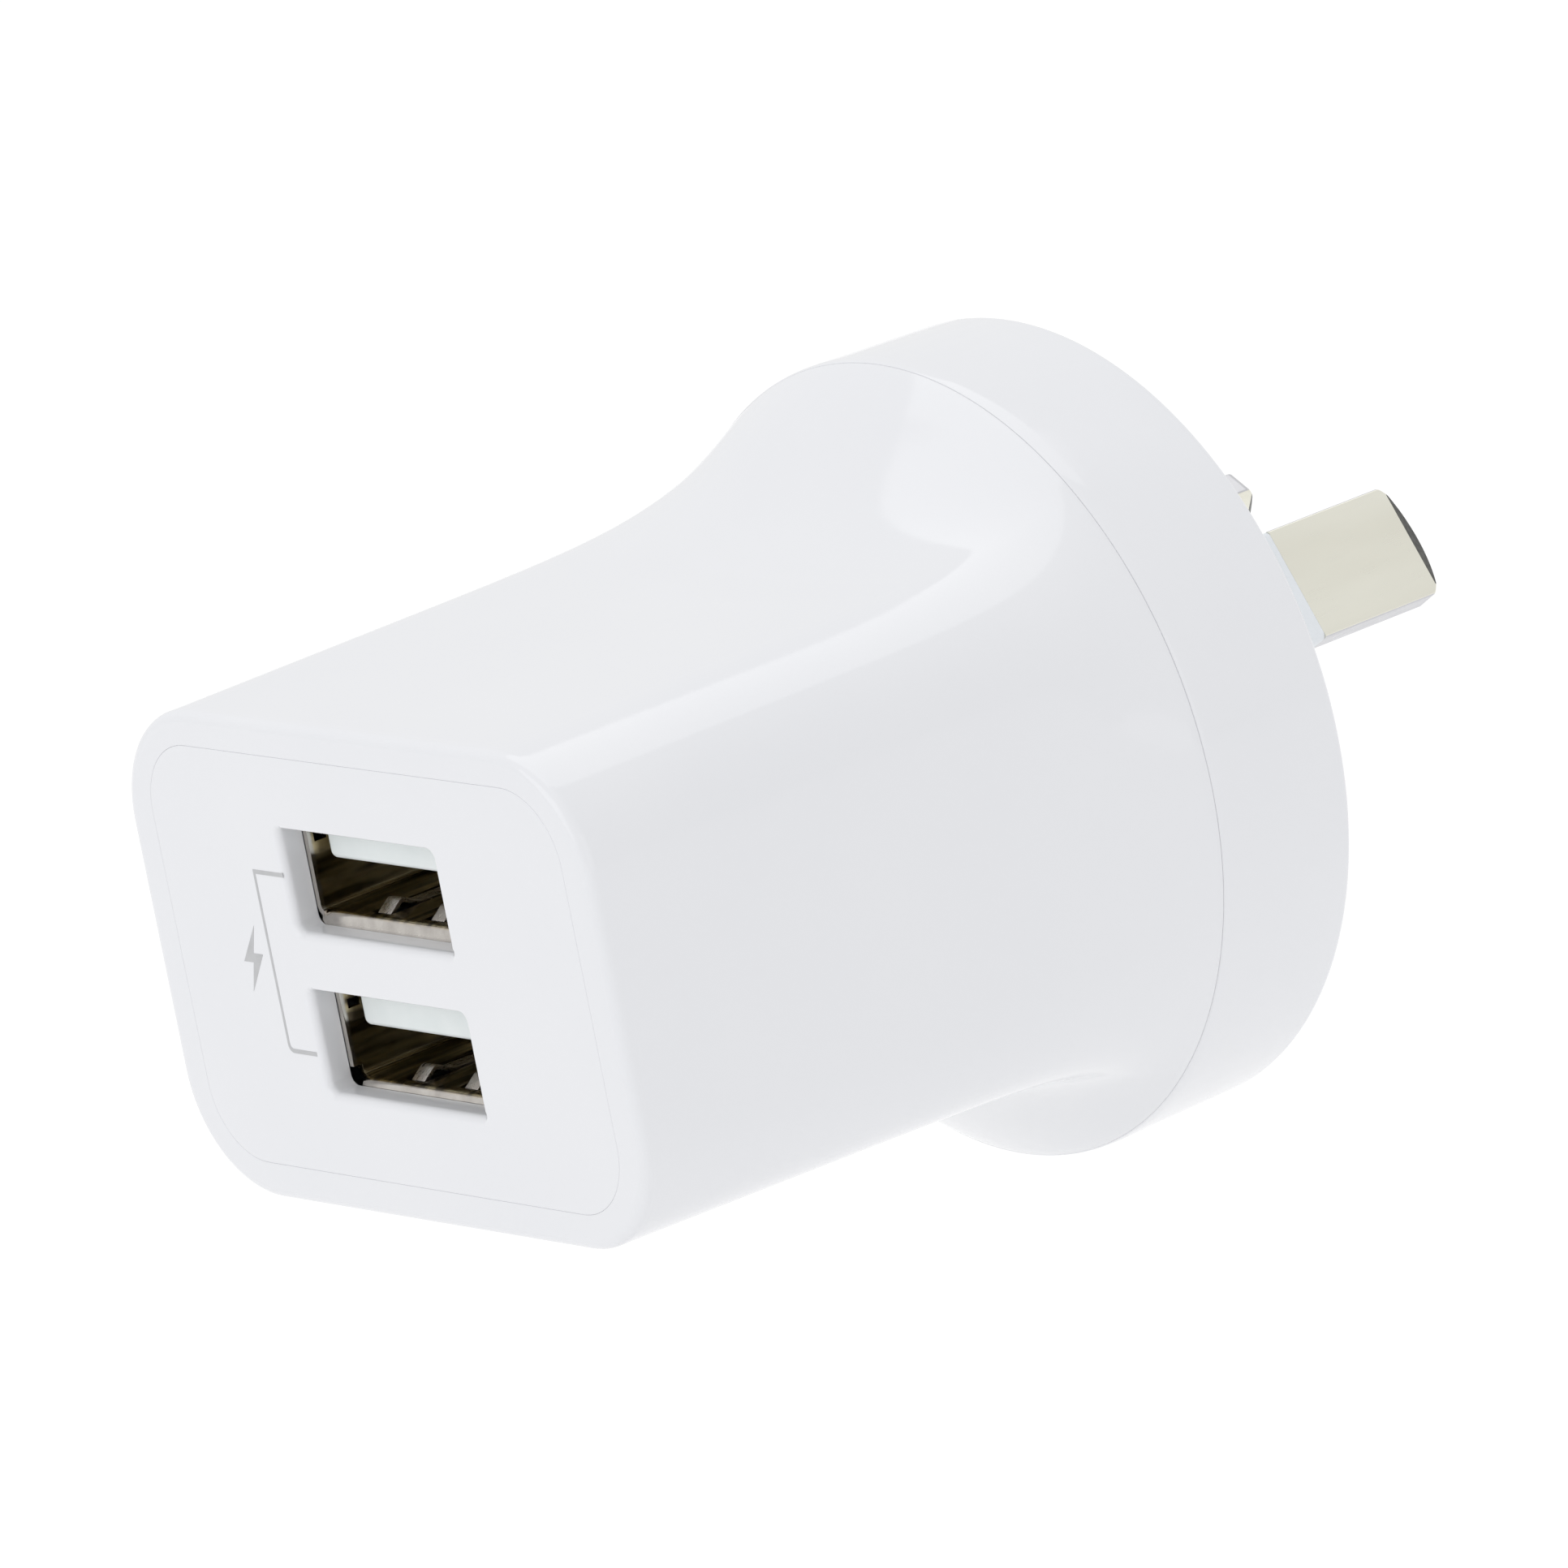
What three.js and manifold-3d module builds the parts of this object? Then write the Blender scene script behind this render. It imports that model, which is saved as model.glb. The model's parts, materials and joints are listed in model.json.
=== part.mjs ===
// A wall charger with two USB-A ports and an AS/NZS 3112 two-pin plug in its rear face.
// Millimetres. The origin is the centre of the flat plug face. +Y points out of that face, along the blades,
// the USB face looks along -Y, +Z is up as plugged in, and +X is to the right as seen from the USB face.
import * as THREE from "three";
import { mergeVertices } from "three/addons/utils/BufferGeometryUtils.js";
import Module from "manifold-3d";

const wasm = await Module();
wasm.setup();

// ---------------------------------------------------------------- driving dimensions

const FRONT_Y = -46.36; // the USB face
const SEAM_Y = -8.97; // the parting seam between the main housing and the rear cover
const WALL = 2.0;
const FIT = 0.1; // gap between pieces that fit into each other
const OVERSHOOT = 1.0; // how far a cutting shape runs past the face it opens
const SINK = 0.4; // how far joined shapes run into each other
const MERGE_DISTANCE = 1e-4; // vertices closer than this are one

// The straight front of the housing is a rounded rectangle that widens slightly towards the wall.
const BODY = {
  halfWidth: 19.05,
  halfHeight: 13.0,
  corner: 6.3,
  midZ: 0.19,
  edge: 0.5,
  growX: 0.3,
  growZ: 0.55,
};
// The flare turns that rectangle into a circle between two stations. Rise and settle shape its two ends.
const FLARE = { from: -32.63, to: SEAM_Y, rise: 4.0, settle: 1.0, weight: 2.48 };
// The flange narrows a little towards the wall, and its front edge is rounded over the lip beside the seam.
const FLANGE = { seamRadius: 21.44, faceRadius: 21.22, edge: 0.6, lip: 0.12, lipLength: 0.9 };
const COVER = { faceThickness: 2.5, spigotRadius: 18.8, spigotWall: 1.2, spigotLength: 1.2 };

const PANEL = { halfWidth: 16.94, halfHeight: 11.13, corner: 3.9, midZ: 0.28, thickness: 1.5 };
const LEDGE = { inset: 1.2, thickness: 1.3 };
const HOOK = { x: 11, width: 4, thickness: 1.0, barb: 0.6, barbLength: 1.0 };

// AS/NZS 3112: flat blades on a 7.92 mm radius, 60 degrees either side of the vertical.
const BLADE = {
  radius: 7.92,
  spread: 60,
  width: 6.35,
  thickness: 1.63,
  shoulder: 17.45,
  tip: 18.6,
  tipThickness: 0.4,
};
const NECK = { width: 5.5, thickness: 0.9, innerY: -7.6 };
const SLEEVE = { innerY: -2.4, endY: 9.8, corner: 0.3, bore: 0.05 };

// USB-A receptacles. The shells sit a little high in their mouths, each by its own amount.
const MOUTH = { halfWidth: 6.47, halfHeight: 2.84, corner: 0.35 };
const SHELL = { halfWidth: 6.55, halfHeight: 2.86, corner: 0.6, wall: 0.3, length: 13.8, gap: 0.1 };
const PORTS = [
  { name: "upper", z: 4.905, rise: 0.42 },
  { name: "lower", z: -3.645, rise: 0.1 },
];
const TONGUE = { halfWidth: 5.55, low: 0.06, high: 1.9, frontY: 0.66, blockY: 10.7, blockGap: 0.08 };
const GROOVE = { width: 1.3, frontY: 1.4, roof: 1.15 };
const CONTACT = { width: 1.0, thickness: 0.2 };
const SIGNALS = { vbus: 3.5, data_minus: 1.0, data_plus: -1.0, ground: -3.5 };
const CONTACT_PATH = [[10.5, 0.42], [6.5, 0.42], [4.1, -0.32], [2.7, 0.25], [1.8, 0.5]];
const SPRING = { x: 2.2, width: 1.05, thickness: 0.25, slotWidth: 1.7, slotFrom: 0.75, slotTo: 8.8 };
const SPRING_PATH = [[8.5, -2.71], [7.7, -2.71], [1.9, -2.15], [1.05, -2.6]];

const BOARD_THICKNESS = 1.2;
const USB_BOARD = { halfWidth: 15.2, lowZ: -6.0, highZ: 9.0, frontGap: 0.3 };
const POWER_BOARD = {
  halfWidth: 15.6,
  tailHalfWidth: 12.8,
  topZ: -7.4,
  fromY: -28.6,
  shoulderY: -11.2,
  toY: -3.2,
};
const ISOLATION_SLOT = { halfLength: 7.5, width: 1.0 };
const RAIL = { innerX: 14.6, outerX: 17.4, lip: 1.1, slotDepth: 1.15, toY: -14 };

const CLIP = {
  strip: 0.5,
  lengthY: 4.0,
  fromY: -7.4,
  bladeLength: 4.4,
  reach: 1.9,
  riserX: 9.7,
  footX: 12.4,
};

// An EE core: two halves meet over the bobbin's tube at x = 0.
const CORE = { halfLength: 7.8, halfDepth: 8.0, height: 5.0, back: 2.0, outerLeg: 2.0, halfCentreLeg: 2.1 };
const TRANSFORMER = { y: -19.6, z: -0.5 };
const BOBBIN = { tubeWall: 0.6, flange: 0.6, flangeX: 5.0, halfFlange: 5.6, gap: 0.15, footHeight: 1.2 };
const WINDING = { halfSide: 5.2, corner: 1.4, gap: 0.1 };

const ELECTROLYTIC = { crimpDepth: 0.25, crimpZ: 1.6, crimpHalf: 0.5, edge: 0.35, segments: 20 };
const CAPACITORS = [
  { name: "output_capacitor_1", x: -11.35, y: -24.9, radius: 3.0, height: 11 },
  { name: "output_capacitor_2", x: 11.35, y: -24.9, radius: 3.0, height: 11 },
  { name: "input_capacitor_1", x: -11.35, y: -17.6, radius: 3.0, height: 12.5 },
  { name: "input_capacitor_2", x: 11.35, y: -17.6, radius: 3.0, height: 12.5 },
];
const RESISTOR = { x: 5.8, y: -8.5, radius: 1.3, waist: 1.05, cap: 1.1, height: 6.8 };
const INDUCTOR = { x: -6.0, y: -8.3, radius: 2.6, waist: 1.9, cap: 0.9, height: 6.0 };
const SAFETY_CAPACITOR = { y: -10.1, z: -3.9, radius: 3.2, thickness: 2.2, edge: 0.8, segments: 24 };
// The barrier film stands between the two boards and folds over the transformer.
const BARRIER = { halfWidth: 13.5, frontY: -29.25, lowZ: -4.6, topZ: 7.7, toY: -13, thickness: 0.3 };
// Flat packages: centre x and y, sizes along x and y, height, and the side of the power board they sit on.
const PACKAGES = [
  { name: "bridge_rectifier", x: 0, y: -6.6, sizeX: 5.0, sizeY: 1.9, height: 4.6, side: 1 },
  { name: "board_header", x: 0, y: -28.5, sizeX: 7.6, sizeY: 1.6, height: 2.4, side: 1 },
  { name: "controller_chip", x: -5, y: -16, sizeX: 4.9, sizeY: 3.9, height: 1.5, side: -1 },
  { name: "optocoupler", x: 6, y: -18.5, sizeX: 4.4, sizeY: 4.0, height: 1.6, side: -1 },
  { name: "output_rectifier", x: 0, y: -25.5, sizeX: 7.0, sizeY: 4.5, height: 1.7, side: -1 },
];

const PACKAGE_DRAFT = 0.2; // how far a package's sides draw in towards its top

const ROUND = 64; // facets round the housing
const ARC = 5; // segments in a rounded corner
const EDGE_STEPS = 3; // segments across the housing's rounded edges
const STATIONS = { fromY: FLARE.from + 4, outside: 13, inside: 9 }; // rings along the flare

// ---------------------------------------------------------------- solids and placing

function toSolid(geometry) {
  const bare = geometry.clone();
  bare.deleteAttribute("normal");
  bare.deleteAttribute("uv");
  const merged = mergeVertices(bare, MERGE_DISTANCE);
  const vertProperties = new Float32Array(merged.attributes.position.array);
  const triVerts = new Uint32Array(merged.index.array);
  return new wasm.Manifold(new wasm.Mesh({ numProp: 3, vertProperties, triVerts }));
}

function toGeometry(solid) {
  const { vertProperties, triVerts } = solid.getMesh();
  const geometry = new THREE.BufferGeometry();
  geometry.setAttribute("position", new THREE.BufferAttribute(new Float32Array(vertProperties), 3));
  geometry.setIndex(new THREE.BufferAttribute(new Uint32Array(triVerts), 1));
  geometry.computeVertexNormals();
  return geometry;
}

function combine(operation, base, others) {
  return toGeometry(others.reduce((solid, other) => solid[operation](toSolid(other)), toSolid(base)));
}

const cut = (base, ...tools) => combine("subtract", base, tools);
const join = (base, ...others) => combine("add", base, others);
const common = (base, ...others) => combine("intersect", base, others);

// A stretch on one side of zero, lowest end first.
function span(side, near, far) {
  return [side * near, side * far].sort((a, b) => a - b);
}

// The points of a quarter round, from flat along the first axis to flat along the second.
function quarterRound(place) {
  return Array.from({ length: EDGE_STEPS + 1 }, (_, i) => {
    const angle = (i / EDGE_STEPS) * (Math.PI / 2);
    return place(1 - Math.cos(angle), 1 - Math.sin(angle));
  });
}

// A box between two corners.
function block(from, to) {
  const size = to.map((high, i) => high - from[i]);
  const middle = to.map((high, i) => (high + from[i]) / 2);
  return new THREE.BoxGeometry(...size).translate(...middle);
}

function extrude(shape, depth) {
  return new THREE.ExtrudeGeometry(shape, { depth, bevelEnabled: false, curveSegments: ARC });
}

// An outline in x and z, extruded along Y.
function alongY(shape, fromY, toY) {
  return extrude(shape, toY - fromY).rotateX(Math.PI / 2).translate(0, toY, 0);
}

// An outline in y and z, extruded along X.
function alongX(shape, fromX, toX) {
  const turn = new THREE.Matrix4().makeBasis(
    new THREE.Vector3(0, 1, 0),
    new THREE.Vector3(0, 0, 1),
    new THREE.Vector3(1, 0, 0),
  );
  return extrude(shape, toX - fromX).applyMatrix4(turn).translate(fromX, 0, 0);
}

// An outline in x and y, extruded along Z.
function alongZ(shape, fromZ, toZ) {
  return extrude(shape, toZ - fromZ).translate(0, 0, fromZ);
}

function roundedRect(halfWidth, halfHeight, radius) {
  const shape = new THREE.Shape();
  const x = halfWidth - radius;
  const y = halfHeight - radius;
  shape.absarc(x, -y, radius, -Math.PI / 2, 0);
  shape.absarc(x, y, radius, 0, Math.PI / 2);
  shape.absarc(-x, y, radius, Math.PI / 2, Math.PI);
  shape.absarc(-x, -y, radius, Math.PI, 1.5 * Math.PI);
  shape.closePath();
  return shape;
}

function outline(points) {
  return new THREE.Shape(points.map(([a, b]) => new THREE.Vector2(a, b)));
}

// The outline of a bent strip: its centre line, offset to both sides with mitred bends.
function ribbon(path, thickness) {
  const points = path.map(([a, b]) => new THREE.Vector2(a, b));
  const normals = points.slice(1).map((p, i) => {
    const along = p.clone().sub(points[i]).normalize();
    return new THREE.Vector2(-along.y, along.x);
  });
  const sides = points.map((p, i) => {
    const before = normals[Math.max(i - 1, 0)];
    const after = normals[Math.min(i, normals.length - 1)];
    const mitre = before.clone().add(after).normalize();
    return mitre.multiplyScalar(thickness / 2 / mitre.dot(before));
  });
  const left = points.map((p, i) => p.clone().add(sides[i]));
  const right = points.map((p, i) => p.clone().sub(sides[i]));
  return new THREE.Shape([...right, ...left.reverse()]);
}

// A closed skin over rings of points that run from low Y to high Y.
function loft(rings) {
  const count = rings[0].length;
  const centres = [rings[0], rings.at(-1)].map((ring) =>
    ring.reduce((sum, p) => sum.add(p), new THREE.Vector3()).divideScalar(count),
  );
  const positions = [...rings.flat(), ...centres].flatMap((p) => [p.x, p.y, p.z]);
  const frontCentre = rings.length * count;
  const backCentre = frontCentre + 1;
  const last = (rings.length - 1) * count;
  const index = [];
  for (let j = 0; j < count; j++) {
    const next = (j + 1) % count;
    index.push(frontCentre, j, next, backCentre, last + next, last + j);
    for (let i = 0; i < last; i += count) {
      index.push(i + j, i + count + j, i + next);
      index.push(i + next, i + count + j, i + count + next);
    }
  }
  const geometry = new THREE.BufferGeometry();
  geometry.setAttribute("position", new THREE.Float32BufferAttribute(positions, 3));
  geometry.setIndex(index);
  return geometry;
}

// A body of revolution about Y. The profile starts and ends on the axis.
function turned(profile, segments) {
  return new THREE.LatheGeometry(
    profile.map(([radius, y]) => new THREE.Vector2(radius, y)),
    segments,
  );
}

// ---------------------------------------------------------------- case

// Distance from the centre of a rounded rectangle to its edge at an angle.
function roundedRectRadius(angle, halfWidth, halfHeight, corner) {
  const c = Math.abs(Math.cos(angle));
  const s = Math.abs(Math.sin(angle));
  const flat = Math.min(halfWidth / c, halfHeight / s);
  const cornerX = halfWidth - corner;
  const cornerZ = halfHeight - corner;
  if (flat * c <= cornerX || flat * s <= cornerZ) return flat;
  const along = c * cornerX + s * cornerZ;
  return along + Math.sqrt(along ** 2 - cornerX ** 2 - cornerZ ** 2 + corner ** 2);
}

// 0 where the section is the rounded rectangle, 1 where it is the flange's circle.
function flareAmount(y) {
  const u = THREE.MathUtils.clamp((y - FLARE.from) / (FLARE.to - FLARE.from), 0, 1);
  const risen = u ** FLARE.rise;
  return risen / (risen + FLARE.weight * (1 - u) ** FLARE.settle);
}

// The flange's radius, which the housing's circle follows a lip's height below.
function flangeRadius(y) {
  return FLANGE.seamRadius + (FLANGE.faceRadius - FLANGE.seamRadius) * (1 - y / SEAM_Y);
}

// The housing's outer section at a station, moved inwards by inset.
function housingRing(y, inset) {
  const grown = (y - FRONT_Y) / -FRONT_Y;
  const halfWidth = BODY.halfWidth + BODY.growX * grown - inset;
  const halfHeight = BODY.halfHeight + BODY.growZ * grown - inset;
  const corner = BODY.corner - inset;
  const flare = flareAmount(y);
  const circle = flangeRadius(y) - FLANGE.lip - inset;
  return Array.from({ length: ROUND }, (_, i) => {
    const angle = (2 * Math.PI * i) / ROUND;
    const straight = roundedRectRadius(angle, halfWidth, halfHeight, corner);
    const radius = THREE.MathUtils.lerp(straight, circle, flare);
    const midZ = BODY.midZ * (1 - flare);
    return new THREE.Vector3(radius * Math.cos(angle), y, midZ + radius * Math.sin(angle));
  });
}

// Stations along the flare, evenly spaced.
function flareStations(toY, count) {
  const step = (toY - STATIONS.fromY) / count;
  return Array.from({ length: count + 1 }, (_, i) => STATIONS.fromY + step * i);
}

const PANEL_BACK_Y = FRONT_Y + PANEL.thickness;
const LEDGE_BACK_Y = PANEL_BACK_Y + FIT + LEDGE.thickness;
const SHELL_FRONT_Y = PANEL_BACK_Y + SHELL.gap;
const USB_BOARD_Y = SHELL_FRONT_Y + SHELL.length + USB_BOARD.frontGap;

function mainHousing() {
  const endY = SEAM_Y - FIT / 2;
  const edgeRings = quarterRound((along, inwards) =>
    housingRing(FRONT_Y + BODY.edge * along, BODY.edge * inwards),
  );
  const flareRings = flareStations(endY, STATIONS.outside).map((y) => housingRing(y, 0));
  const outer = loft([...edgeRings, ...flareRings]);
  const cavityStations = [LEDGE_BACK_Y, ...flareStations(endY, STATIONS.inside), endY + OVERSHOOT];
  const cavity = loft(cavityStations.map((y) => housingRing(y, WALL)));
  const pocket = alongY(
    roundedRect(PANEL.halfWidth, PANEL.halfHeight, PANEL.corner),
    FRONT_Y - OVERSHOOT,
    PANEL_BACK_Y + FIT,
  ).translate(0, 0, PANEL.midZ);
  const throat = alongY(
    roundedRect(PANEL.halfWidth - LEDGE.inset, PANEL.halfHeight - LEDGE.inset, PANEL.corner - LEDGE.inset),
    PANEL_BACK_Y,
    LEDGE_BACK_Y + OVERSHOOT,
  ).translate(0, 0, PANEL.midZ);
  const register = new THREE.CylinderGeometry(
    COVER.spigotRadius + FIT,
    COVER.spigotRadius + FIT,
    COVER.spigotLength + FIT + OVERSHOOT,
    ROUND,
  ).translate(0, endY + (OVERSHOOT - COVER.spigotLength - FIT) / 2, 0);
  return join(cut(outer, cavity, pocket, throat, register), ...boardRails());
}

// Grooved rails on the side walls that hold the edges of both boards.
function boardRails() {
  const boardLow = POWER_BOARD.topZ - BOARD_THICKNESS;
  return [-1, 1].flatMap((side) => {
    const across = span(side, RAIL.innerX, RAIL.outerX);
    const slot = span(side, RAIL.innerX - OVERSHOOT, RAIL.innerX + RAIL.slotDepth);
    const power = cut(
      block(
        [across[0], POWER_BOARD.fromY, boardLow - RAIL.lip],
        [across[1], RAIL.toY, POWER_BOARD.topZ + RAIL.lip],
      ),
      block(
        [slot[0], POWER_BOARD.fromY - OVERSHOOT, boardLow - FIT],
        [slot[1], RAIL.toY + OVERSHOOT, POWER_BOARD.topZ + FIT],
      ),
    );
    const usb = cut(
      block(
        [across[0], USB_BOARD_Y - RAIL.lip, USB_BOARD.lowZ + OVERSHOOT],
        [across[1], USB_BOARD_Y + BOARD_THICKNESS + RAIL.lip / 2, USB_BOARD.highZ - OVERSHOOT],
      ),
      block(
        [slot[0], USB_BOARD_Y - FIT, USB_BOARD.lowZ],
        [slot[1], USB_BOARD_Y + BOARD_THICKNESS + FIT, USB_BOARD.highZ],
      ),
    );
    return [power, usb];
  });
}

function frontPanel() {
  const plate = alongY(
    roundedRect(PANEL.halfWidth - FIT, PANEL.halfHeight - FIT, PANEL.corner - FIT),
    FRONT_Y,
    PANEL_BACK_Y,
  ).translate(0, 0, PANEL.midZ);
  const mouths = PORTS.map(({ z }) =>
    alongY(
      roundedRect(MOUTH.halfWidth, MOUTH.halfHeight, MOUTH.corner),
      FRONT_Y - OVERSHOOT,
      PANEL_BACK_Y + OVERSHOOT,
    ).translate(0, 0, z),
  );
  return join(cut(plate, ...mouths), ...panelHooks());
}

// Snap hooks behind the panel that catch on the housing's inner ledge, two above and two below.
function panelHooks() {
  const throatEdge = PANEL.halfHeight - LEDGE.inset - FIT;
  const barbFrom = LEDGE_BACK_Y + FIT;
  return [-1, 1].flatMap((side) =>
    [-HOOK.x, HOOK.x].map((x) => {
      const profile = outline([
        [PANEL_BACK_Y - SINK, throatEdge - HOOK.thickness],
        [barbFrom + HOOK.barbLength, throatEdge - HOOK.thickness],
        [barbFrom + HOOK.barbLength, throatEdge],
        [barbFrom, throatEdge + HOOK.barb],
        [barbFrom, throatEdge],
        [PANEL_BACK_Y - SINK, throatEdge],
      ]);
      const hook = alongX(profile, x - HOOK.width / 2, x + HOOK.width / 2);
      return (side > 0 ? hook : hook.rotateY(Math.PI)).translate(0, 0, PANEL.midZ);
    }),
  );
}

function rearCover() {
  const frontY = SEAM_Y + FIT / 2;
  const spigotY = SEAM_Y - COVER.spigotLength;
  const spigotInner = COVER.spigotRadius - COVER.spigotWall;
  const lip = quarterRound((along, inwards) => {
    const y = frontY + FLANGE.lipLength * along;
    return [flangeRadius(y) - FLANGE.lip * inwards, y];
  });
  const edge = quarterRound((inwards, along) => [
    FLANGE.faceRadius - FLANGE.edge * inwards,
    -FLANGE.edge * along,
  ]);
  const cup = turned(
    [
      [0, -COVER.faceThickness],
      [spigotInner, -COVER.faceThickness],
      [spigotInner, spigotY],
      [COVER.spigotRadius, spigotY],
      [COVER.spigotRadius, frontY],
      ...lip,
      ...edge,
      [0, 0],
    ],
    ROUND,
  );
  const slots = BLADES.map(({ angle, x, z }) =>
    alongY(
      roundedRect(BLADE.thickness / 2 + SLEEVE.bore, BLADE.width / 2 + SLEEVE.bore, SLEEVE.corner),
      -COVER.faceThickness - OVERSHOOT,
      OVERSHOOT,
    )
      .rotateY(angle)
      .translate(x, 0, z),
  );
  return cut(cup, ...slots);
}

// ---------------------------------------------------------------- blades

const BLADES = [
  { name: "active", side: -1 },
  { name: "neutral", side: 1 },
].map(({ name, side }) => {
  const spread = THREE.MathUtils.degToRad(BLADE.spread);
  return {
    name,
    side,
    angle: -side * (Math.PI / 2 - spread),
    x: side * BLADE.radius * Math.sin(spread),
    z: BLADE.radius * Math.cos(spread),
  };
});

// A blade about its own centre line: thickness along x, width along z, length along y.
function blade() {
  const half = BLADE.width / 2;
  const rise = BLADE.tip - BLADE.shoulder;
  const crown = (half ** 2 + rise ** 2) / (2 * rise);
  const sweep = Math.asin(half / crown);
  const plan = new THREE.Shape();
  plan.absarc(BLADE.tip - crown, 0, crown, -sweep, sweep);
  plan.lineTo(SLEEVE.endY, half);
  plan.lineTo(SLEEVE.endY, -half);
  plan.closePath();
  const flat = alongX(plan, -BLADE.thickness / 2, BLADE.thickness / 2);
  const bevel = alongZ(
    outline([
      [-BLADE.thickness / 2, SLEEVE.endY - OVERSHOOT],
      [BLADE.thickness / 2, SLEEVE.endY - OVERSHOOT],
      [BLADE.thickness / 2, BLADE.shoulder],
      [BLADE.tipThickness / 2, BLADE.tip + FIT],
      [-BLADE.tipThickness / 2, BLADE.tip + FIT],
      [-BLADE.thickness / 2, BLADE.shoulder],
    ]),
    -half - OVERSHOOT,
    half + OVERSHOOT,
  );
  const neck = block(
    [-NECK.thickness / 2, NECK.innerY, -NECK.width / 2],
    [NECK.thickness / 2, SLEEVE.endY + SINK, NECK.width / 2],
  );
  return join(common(flat, bevel), neck);
}

// The insulation round a blade's root, flush with the bare metal beyond it.
function sleeve() {
  const outer = roundedRect(BLADE.thickness / 2, BLADE.width / 2, SLEEVE.corner);
  const bore = block(
    [-NECK.thickness / 2 - SLEEVE.bore, SLEEVE.innerY - OVERSHOOT, -NECK.width / 2 - SLEEVE.bore],
    [NECK.thickness / 2 + SLEEVE.bore, SLEEVE.endY + OVERSHOOT, NECK.width / 2 + SLEEVE.bore],
  );
  return cut(alongY(outer, SLEEVE.innerY, SLEEVE.endY - SLEEVE.bore), bore);
}

// A leaf contact that rises from the power board and lies against a blade's inner end.
function bladeClip(side) {
  const spread = THREE.MathUtils.degToRad(BLADE.spread);
  const outwards = [Math.sin(spread), Math.cos(spread)];
  const upwards = [-Math.cos(spread), Math.sin(spread)];
  const radius = BLADE.radius + NECK.thickness / 2 + SLEEVE.bore + CLIP.strip / 2;
  const onBlade = (s) => [0, 1].map((i) => outwards[i] * radius + upwards[i] * s);
  const footZ = POWER_BOARD.topZ + FIT + CLIP.strip / 2;
  const path = [
    [CLIP.footX, footZ],
    [CLIP.riserX, footZ],
    [CLIP.riserX, onBlade(-CLIP.bladeLength / 2)[1] - CLIP.reach],
    onBlade(-CLIP.bladeLength / 2),
    onBlade(CLIP.bladeLength / 2),
  ].map(([x, z]) => [side * x, z]);
  return alongY(ribbon(path, CLIP.strip), CLIP.fromY, CLIP.fromY + CLIP.lengthY);
}

// ---------------------------------------------------------------- USB ports, about the shell's front centre

function portShell() {
  const outer = alongY(roundedRect(SHELL.halfWidth, SHELL.halfHeight, SHELL.corner), 0, SHELL.length);
  const inner = alongY(
    roundedRect(SHELL.halfWidth - SHELL.wall, SHELL.halfHeight - SHELL.wall, SHELL.corner - SHELL.wall),
    -OVERSHOOT,
    SHELL.length + OVERSHOOT,
  );
  const slots = [-SPRING.x, SPRING.x].map((x) =>
    block(
      [x - SPRING.slotWidth / 2, SPRING.slotFrom, -SHELL.halfHeight - OVERSHOOT],
      [x + SPRING.slotWidth / 2, SPRING.slotTo, -SHELL.halfHeight + SHELL.wall + FIT],
    ),
  );
  return cut(outer, inner, ...slots);
}

// The insulator: a block that closes the shell's rear, and the tongue with a groove for each contact.
function portTongue() {
  const blockShape = roundedRect(
    SHELL.halfWidth - SHELL.wall - TONGUE.blockGap,
    SHELL.halfHeight - SHELL.wall - TONGUE.blockGap,
    SHELL.corner - SHELL.wall,
  );
  const rear = alongY(blockShape, TONGUE.blockY, SHELL.length);
  const tongue = block(
    [-TONGUE.halfWidth, TONGUE.frontY, TONGUE.low],
    [TONGUE.halfWidth, TONGUE.blockY + SINK, TONGUE.high],
  );
  const grooves = Object.values(SIGNALS).map((x) =>
    block(
      [x - GROOVE.width / 2, GROOVE.frontY, TONGUE.low - OVERSHOOT],
      [x + GROOVE.width / 2, TONGUE.blockY, GROOVE.roof],
    ),
  );
  return join(cut(tongue, ...grooves), rear);
}

function portContact(x) {
  return alongX(ribbon(CONTACT_PATH, CONTACT.thickness), x - CONTACT.width / 2, x + CONTACT.width / 2);
}

function portSpring(x) {
  return alongX(ribbon(SPRING_PATH, SPRING.thickness), x - SPRING.width / 2, x + SPRING.width / 2);
}

// ---------------------------------------------------------------- boards and components

function usbBoard() {
  return block(
    [-USB_BOARD.halfWidth, USB_BOARD_Y, USB_BOARD.lowZ],
    [USB_BOARD.halfWidth, USB_BOARD_Y + BOARD_THICKNESS, USB_BOARD.highZ],
  );
}

// The power board: a tail reaches into the rear cover under the blades, and a slot separates its two sides.
function powerBoard() {
  const { halfWidth, tailHalfWidth, fromY, shoulderY, toY, topZ } = POWER_BOARD;
  const plan = outline([
    [-halfWidth, fromY],
    [halfWidth, fromY],
    [halfWidth, shoulderY],
    [tailHalfWidth, shoulderY],
    [tailHalfWidth, toY],
    [-tailHalfWidth, toY],
    [-tailHalfWidth, shoulderY],
    [-halfWidth, shoulderY],
  ]);
  const bottomZ = topZ - BOARD_THICKNESS;
  const { halfLength, width } = ISOLATION_SLOT;
  const slot = block(
    [-halfLength, TRANSFORMER.y - width / 2, bottomZ - OVERSHOOT],
    [halfLength, TRANSFORMER.y + width / 2, topZ + OVERSHOOT],
  );
  return cut(alongZ(plan, bottomZ, topZ), slot);
}

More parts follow.
